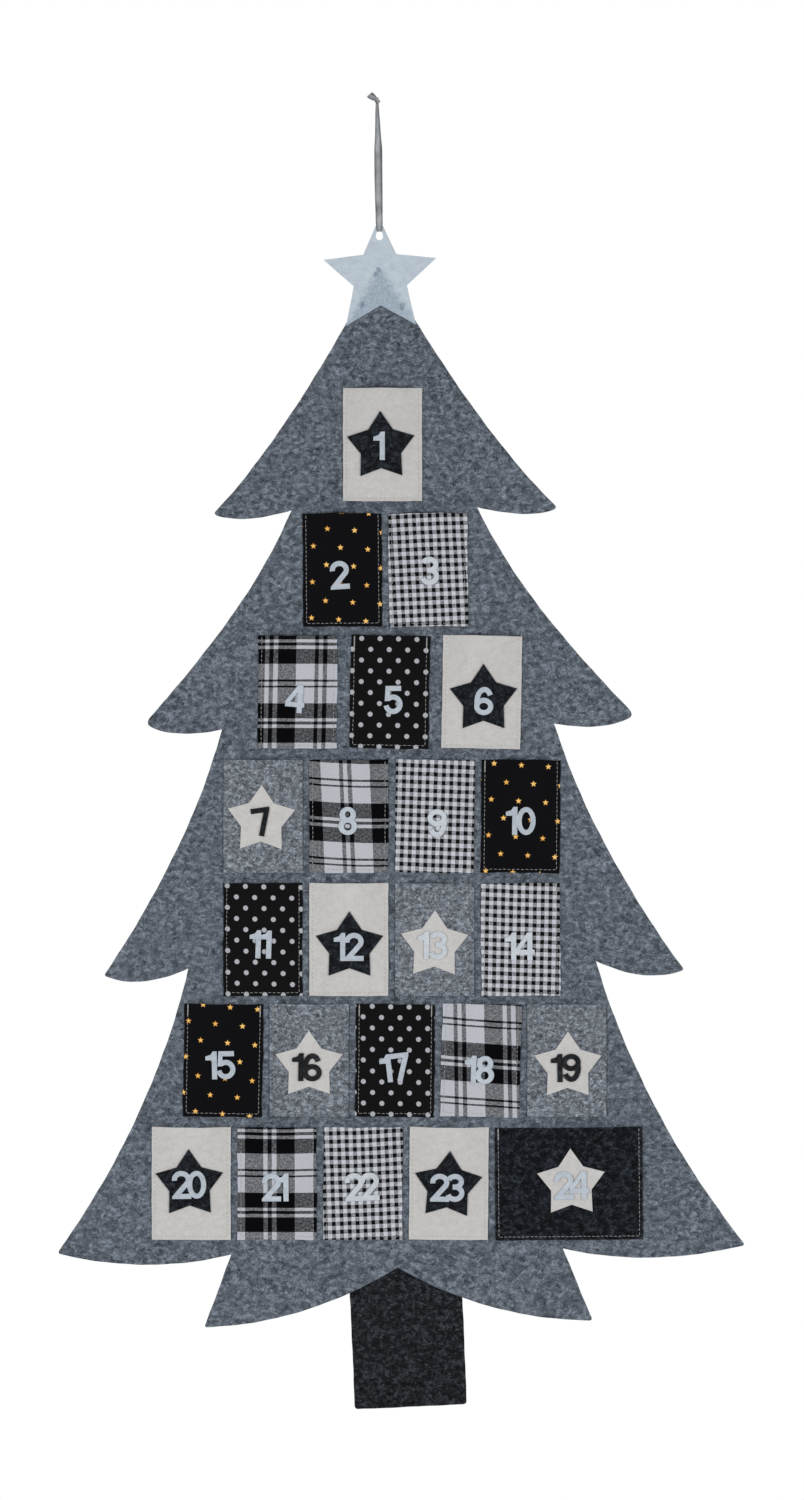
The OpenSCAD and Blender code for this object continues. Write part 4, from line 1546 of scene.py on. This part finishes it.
    def glued(self, drawing: Drawing, at: Pair, tilt: float, under: float, thick: float,
              step: float) -> Shell:
        """A felt cut-out that follows the bowed cloth.

        Args:
            drawing: Outlines and holes, their middle at 0.
            at: Its place on the pocket.
            tilt: Its turn, counter-clockwise.
            under: Thickness of the cloth and felt below it.
            thick: Its own thickness.
            step: Spacing of its points.
        Returns:
            The shell.
        """
        cut = joined(tuple([turned(ring, tilt) + at for ring in rings] for rings in drawing), step)
        return felt_body(cut, thick, THIN_EDGE, lambda x, z: self.stand_off(x, z) + under,
                         self.placed)

    def build(self, finishes: dict[str, Material], digits: Digits, on: Piece) -> None:
        """Make the pocket, its star and its number.

        Args:
            finishes: Materials by name.
            digits: Outlines of the digits.
            on: The tree's piece; not used.
        """
        tag, slot, under = f"{self.number:02d}", self.cloth.value, self.thick
        panel = settle(f"pocket_cloth_{tag}", self.panel_shell(), finishes[slot],
                       f"pocket_{tag}")
        if self.star_at is not None:
            star = [star_ring(self.star_r, self.star_inner_r)], []
            shell = self.glued(star, self.star_at, self.star_tilt, under, self.star_t,
                               self.star_step)
            felt, slot, node = (("dark_star", "charcoal_felt", "charcoal_stars")
                                if self.cloth is Cloth.CREAM
                                else ("cream_felt", "cream_felt", "cream_stars"))
            settle(f"pocket_star_{tag}", shell, finishes[felt], node)
            under += self.star_t
        shell = self.glued(digits.number(self.number), self.number_at, self.number_tilt, under,
                           self.digit_t, self.digit_step)
        slot = "charcoal_felt" if self.number_felt == "dark_number" else "pale_felt"
        settle(f"pocket_number_{tag}", shell, finishes[self.number_felt], f"number_{tag}")


@dataclass
class Stitching:
    """The machine stitches of one colour of thread, on several pockets."""
    name: str
    finish: ThreadFinish
    cloths: tuple[Cloth, ...]
    length: float = 2.8
    pitch: float = 3.8
    thread: float = 0.45
    arch: float = 0.28
    sunk: float = 0.12
    seat: float = 0.75
    wander: float = 0.12
    tack: float = 2.9
    tack_pitch: float = 2.375
    tack_slip: float = 0.28

    def template(self) -> Array:
        """One stitch along x from -1/2 to 1/2: five rings of six, its ends sunk in the cloth.

        Returns:
            Rings of points: x in shares of the length, y towards the back and z in millimetres.
        """
        s = np.array([-1, -0.8, 0.0, 0.8, 1.0])[:, None]
        a = np.radians(np.arange(6) * 60.0)
        fat = self.thread / 2 * np.array([0.35, 0.9, 1.0, 0.9, 0.35])[:, None]
        rise = self.arch * (1 - s ** 4) - self.sunk
        return rows(s / 2, -rise - fat * np.sin(a), fat * np.cos(a))

    def runs(self, pocket: Pocket) -> Array:
        """Middles, directions and lengths of a pocket's stitches.

        Each run divides its length into whole pitches: down the left side, along the foot and up
        the right side. Tacks are longer stitches laid close over the top of a side.

        Args:
            pocket: The pocket.
        Returns:
            Rows of x, z, direction in degrees and length.
        """
        half, low = pocket.width / 2 - pocket.inset, -pocket.height / 2 + pocket.inset
        top = pocket.height / 2 - 1.0
        corners = np.array([[-half, top], [-half, low], [half, low], [half, top]])
        made = []
        for a, b in zip(corners[:-1], corners[1:]):
            count = int(np.linalg.norm(b - a) / self.pitch)
            share = (np.arange(count) + 0.5)[:, None] / count
            drift = -self.wander * np.sin(share * 37.0 + pocket.number) * right_of(b - a)
            way = math.degrees(math.atan2(*(b - a)[::-1]))
            x, z = (a + share * (b - a) + drift).T
            made.append(rows(x, z, way, self.length))
        z = top - np.arange(4) * self.tack_pitch - 1.2
        for side in pocket.tacks:
            for slip in (-self.tack_slip, self.tack_slip):
                x = (-half if side == "L" else half) + slip
                made.append(rows(x, z + slip, 90.0, self.tack))
        return chain(made)

    def build(self, pockets: Sequence[Pocket]) -> None:
        """Lay the stitches of all pockets of these cloths, on the cloth and on the tree's back.

        Args:
            pockets: All pockets.
        """
        rings = self.template()
        points, cloth = [], []
        for pocket in (p for p in pockets if p.cloth in self.cloths):
            x, z, way, length = self.runs(pocket).T[:, :, None, None]
            along, angle = rings[..., 0] * length, np.radians(way)
            cos, sin = np.cos(angle), np.sin(angle)
            for side in (1.0, -1.0):
                across = side * rings[..., 2]
                flat_x, flat_z = x + along * cos - across * sin, z + along * sin + across * cos
                front = pocket.stand_off(flat_x, flat_z) + pocket.thick * self.seat
                off = front if side > 0 else -TREE_T
                made = rows(flat_x, side * rings[..., 1] - off, flat_z)
                points.append(pocket.placed(made.reshape(-1, 3)))
                cloth.append(rows(along, np.arange(6) / 6.0).reshape(-1, 2))
        points = chain(points)
        stations, around = rings.shape[:2]
        faces = swept(len(points) // (stations * around), stations, around)
        settle(self.name, Shell(points, faces, chain(cloth)), self.finish.make(),
               "pocket_seams")


@dataclass
class PocketRows:
    """All pockets in their rows on the tree."""
    counts: tuple = (1, 2, 3, 4, 4, 5, 5)
    extra_gap: tuple = (0, 0, 5.5, 0, 0, 0, 0)
    slip_x: tuple = (-0.5, 0, 2, 2, 0, 1, 1)
    slip_z: tuple = (0, 2, 1, 2, 2, 0, 0)
    first_row: float = 160.5
    gap: float = 6.0
    row_gap: float = 9.0
    wide: float = 130.5
    pockets: list[Pocket] = field(default_factory=list)

    def list_pockets(self) -> None:
        """Write down each pocket's cloth, tilts and pattern, then find its place in its row."""
        cream, grey, dots, stars = Cloth.CREAM, Cloth.GREY, Cloth.DOTTED, Cloth.STARRY
        check, plaid = Cloth.GINGHAM, Cloth.PLAID
        self.pockets = [
            Pocket(1, cream, 0, (-3, -1.5), 0, (-1.5, -2.3), 1),
            Pocket(2, stars, 0.5, (-2.4, -4.6), 3, None, 0, (-2.1, 19.6), -0.035, 0.070),
            Pocket(3, check, 0.5, (1, -1), 0, None, 0, (-6.7, 7.6), 0.047, -0.031),
            Pocket(4, plaid, -0.5, (-2, -6), -4, None, 0, (20.0, 7.3), -0.012, -0.009),
            Pocket(5, dots, -1, (3, -7), 2, None, 0, (-0.8, -0.8), 0.007, 0.003, "LR"),
            Pocket(6, cream, -1, (2, -8), -2, (1.6, -6.6), 1),
            Pocket(7, grey, 0, (-1.2, -4.8), 8, (-1.4, -3.4), -1, tacks="L"),
            Pocket(8, plaid, 0, (-1, -4), 0, None, 0, (-1.7, 29.3), 0.041, 0.038, "", 0.63),
            Pocket(9, check, -0.5, (2, -6), 0, None, 0, (-24.7, 40.7), -0.021, 0.033),
            Pocket(10, stars, -0.5, (0, -4), 0, None, 0, (-3.1, 13.5), -0.070, 0.054, "L"),
            Pocket(11, dots, 0, (-2, -4), -2, None, 0, (1.4, 8.6), 0.0085, 0.0244),
            Pocket(12, cream, 0, (0, -6.2), 0, (0.6, -6.4), 0),
            Pocket(13, grey, 0, (-2, -5), -1, (-0.2, -5), -1, tacks="LR"),
            Pocket(14, check, 0.5, (-1, -6), 0, None, 0, (1.5, -5.1), -0.025, 0.049, "R"),
            Pocket(15, stars, -1, (-2.2, -4), 2, None, 0, (2.9, 16.2), -0.058, 0.077, "LR"),
            Pocket(16, grey, 0, (-1.8, -5.6), -1, (0, -4.2), 0, tacks="L"),
            Pocket(17, dots, -0.5, (0, -6), 7, None, 0, (-3.6, 9.6), 0.012, 0.008, "LR"),
            Pocket(18, plaid, -1.5, (-1, -8), 0, None, 0, (-18.4, 32.7), 0.042, 0.047),
            Pocket(19, grey, 0, (-1, -6.2), 1, (0.8, -5.2), 0),
            Pocket(20, cream, 0, (-1.6, -0.6), 1, (-1.5, -0.4), 1),
            Pocket(21, plaid, 0, (-1.5, -3), 0, None, 0, (37.4, 9.2), 0.0, 0.0),
            Pocket(22, check, -0.5, (-0.8, -2.5), 3, None, 0, (4.5, -1.8), 0.042, -0.052),
            Pocket(23, cream, -0.5, (-1.4, -3.2), 0, (-0.8, -2), -3),
            Pocket(24, Cloth.CHARCOAL, 0.5, (2, -1), 1, (1.8, 0.4), 1, tacks="L", width=self.wide),
        ]
        first = 0
        for row, count in enumerate(self.counts):
            line = self.pockets[first:first + count]
            gap = self.gap + self.extra_gap[row]
            x = self.slip_x[row] - (sum(p.width for p in line) + gap * (count - 1)) / 2
            for pocket in line:
                pocket.x = x + pocket.width / 2
                pocket.z = (TIP_Z - self.first_row - row * (pocket.height + self.row_gap)
                            - self.slip_z[row])
                x += pocket.width + gap
            first += count

    def build(self, finishes: dict[str, Material], on: Piece) -> None:
        """Make every pocket, then the stitches that hold them.

        Args:
            finishes: Materials by name.
            on: The tree's piece.
        """
        self.list_pockets()
        digits = Digits()
        for pocket in self.pockets:
            pocket.build(finishes, digits, on)
        pale = ThreadFinish("pale_thread", (192, 192, 190), (134, 134, 133))
        cream = ThreadFinish("cream_thread", (188, 185, 180), (156, 152, 147))
        grey = ThreadFinish("grey_thread", (168, 166, 160), (110, 112, 116))
        for stitching in (
            Stitching("stitches_pale", pale, (Cloth.STARRY, Cloth.DOTTED, Cloth.PLAID,
                                              Cloth.GINGHAM, Cloth.CHARCOAL)),
            Stitching("stitches_cream", cream, (Cloth.CREAM,), length=2.0, thread=0.3),
            Stitching("stitches_grey", grey, (Cloth.GREY,), length=2.2, thread=0.34),
        ):
            stitching.build(self.pockets)


def pocket_finishes() -> dict[str, Material]:
    """Make the materials of the pockets, stars and numbers.

    Returns:
        Materials by name.
    """
    felts = (
        FeltFinish("cream_felt", (184, 181, 178), (197, 195, 193), (207, 206, 205),
                   strand_share=0.04, relief=0.2),
        FeltFinish("grey_felt", (51, 55, 61), (107, 112, 120), (173, 181, 191), cloud=3.0,
                   curl=2.4),
        FeltFinish("charcoal_felt", (7, 8, 9), (21, 23, 27), (58, 64, 73)),
        FeltFinish("dark_star", (10, 11, 13), (25, 27, 31), (54, 61, 69), cloud=4.0),
        FeltFinish("dark_number", (18, 19, 20), (33, 34, 36), (56, 59, 64), cloud=4.0),
        FeltFinish("pale_felt", (170, 180, 190), (184, 193, 202), (196, 205, 213), relief=0.2),
        FeltFinish("pale_on_dark", (164, 173, 183), (177, 186, 195), (190, 198, 206), relief=0.2),
        FeltFinish("pale_on_light", (182, 189, 196), (195, 201, 208), (205, 211, 217), relief=0.2),
    )
    cottons = (DottedCotton(), StarryCotton(), Gingham(), Plaid())
    return {felt.name: felt.make() for felt in felts} | {c.slot: c.make() for c in cottons}


@dataclass(frozen=True)
class Lamp:
    """One round soft lamp."""
    name: str
    at: tuple[float, float, float]
    watts: float
    size: float


@dataclass
class Studio:
    """Camera, soft light, white backdrop and pale floor."""
    aim: Pair = (0.012, -0.573)
    away: float = 4.5
    frame_h: float = 1.3275
    roll: float = 1.0
    sensor: float = 24.0
    floor_z: float = -1.6
    floor_r: float = 2.4
    floor_sides: int = 64
    fill: float = 0.46
    lamps: tuple[Lamp, ...] = (
        Lamp("left_lamp", (-1.2, -1.6, -0.72), 12.6, 0.5),
        Lamp("right_lamp", (1.2, -1.6, -0.72), 11.6, 0.5),
    )
    lit: tuple[float, float, float] = (0.0, 0.0, -0.7)

    def hang_camera(self) -> None:
        """Stand the camera straight in front, rolled as the picture is."""
        data = bpy.data.cameras.new("front_camera")
        data.sensor_fit = "VERTICAL"
        data.sensor_height = self.sensor
        data.lens = self.sensor * self.away / self.frame_h
        camera = bpy.data.objects.new("front_camera", data)
        camera.location = (self.aim[0], -self.away, self.aim[1])
        camera.rotation_euler = (math.radians(90), math.radians(self.roll), 0.0)
        bpy.context.scene.collection.objects.link(camera)
        bpy.context.scene.camera = camera

    def light(self) -> None:
        """An even white room, seen as plain white, and a soft lamp on either side."""
        world = bpy.data.worlds.new("white_room")
        room = Nodes(world)
        ray = room.put("LightPath", {}).outputs
        seen = ray["Is Camera Ray"]
        for other in ("Is Glossy Ray", "Is Transmission Ray"):
            seen = room.put("Math", {0: seen, 1: ray[other]}, operation="MAXIMUM").outputs[0]
        walls = [room.put("Background", {0: (1.0, 1.0, 1.0, 1.0), 1: strength}).outputs[0]
                 for strength in (self.fill, 1.0)]
        mixed = room.put("MixShader", {0: seen, 1: walls[0], 2: walls[1]})
        room.put("OutputWorld", {0: mixed.outputs[0]})
        bpy.context.scene.world = world
        for lamp in self.lamps:
            data = bpy.data.lights.new(lamp.name, "AREA")
            data.shape, data.size, data.energy = "DISK", lamp.size, lamp.watts
            hung = bpy.data.objects.new(lamp.name, data)
            hung.location = lamp.at
            aim = Vector(self.lit) - Vector(lamp.at)
            hung.rotation_euler = aim.to_track_quat("-Z", "Y").to_euler()
            bpy.context.scene.collection.objects.link(hung)

    def lay_floor(self) -> None:
        """A pale round floor below the hanging tree, its rim a ring round the middle."""
        a = np.linspace(0, math.tau, self.floor_sides + 1)[:-1]
        rim = rows(np.cos(a) * self.floor_r, np.sin(a) * self.floor_r, self.floor_z)
        r = Recipe("pale_floor")
        tone = r.noise(r.place_mm(), 300.0, 3.0)
        colour = r.ramp(tone, [(0.3, (226, 226, 225)), (0.7, (232, 232, 231))])
        pale = r.dress({"Base Color": colour, "Roughness": 0.9})
        floor = put_mesh("studio_floor", Shell(rim, [list(range(self.floor_sides))]), pale)

    def build(self) -> None:
        """Set up the camera, the light and the floor."""
        self.hang_camera()
        self.light()
        self.lay_floor()
        bpy.context.scene.view_settings.view_transform = "Standard"


def main() -> None:
    """Build the calendar piece by piece."""
    logging.basicConfig(level=logging.INFO, format="%(name)s %(message)s")
    Studio().build()
    HangingLoop().build()
    finishes = pocket_finishes()
    sizes = TreeSheet()
    tree = sizes.build()
    TrunkStrip().build(sizes, tree)
    StarTopper().build(tree)
    PocketRows().build(finishes, tree)


if __name__ == "__main__":
    main()
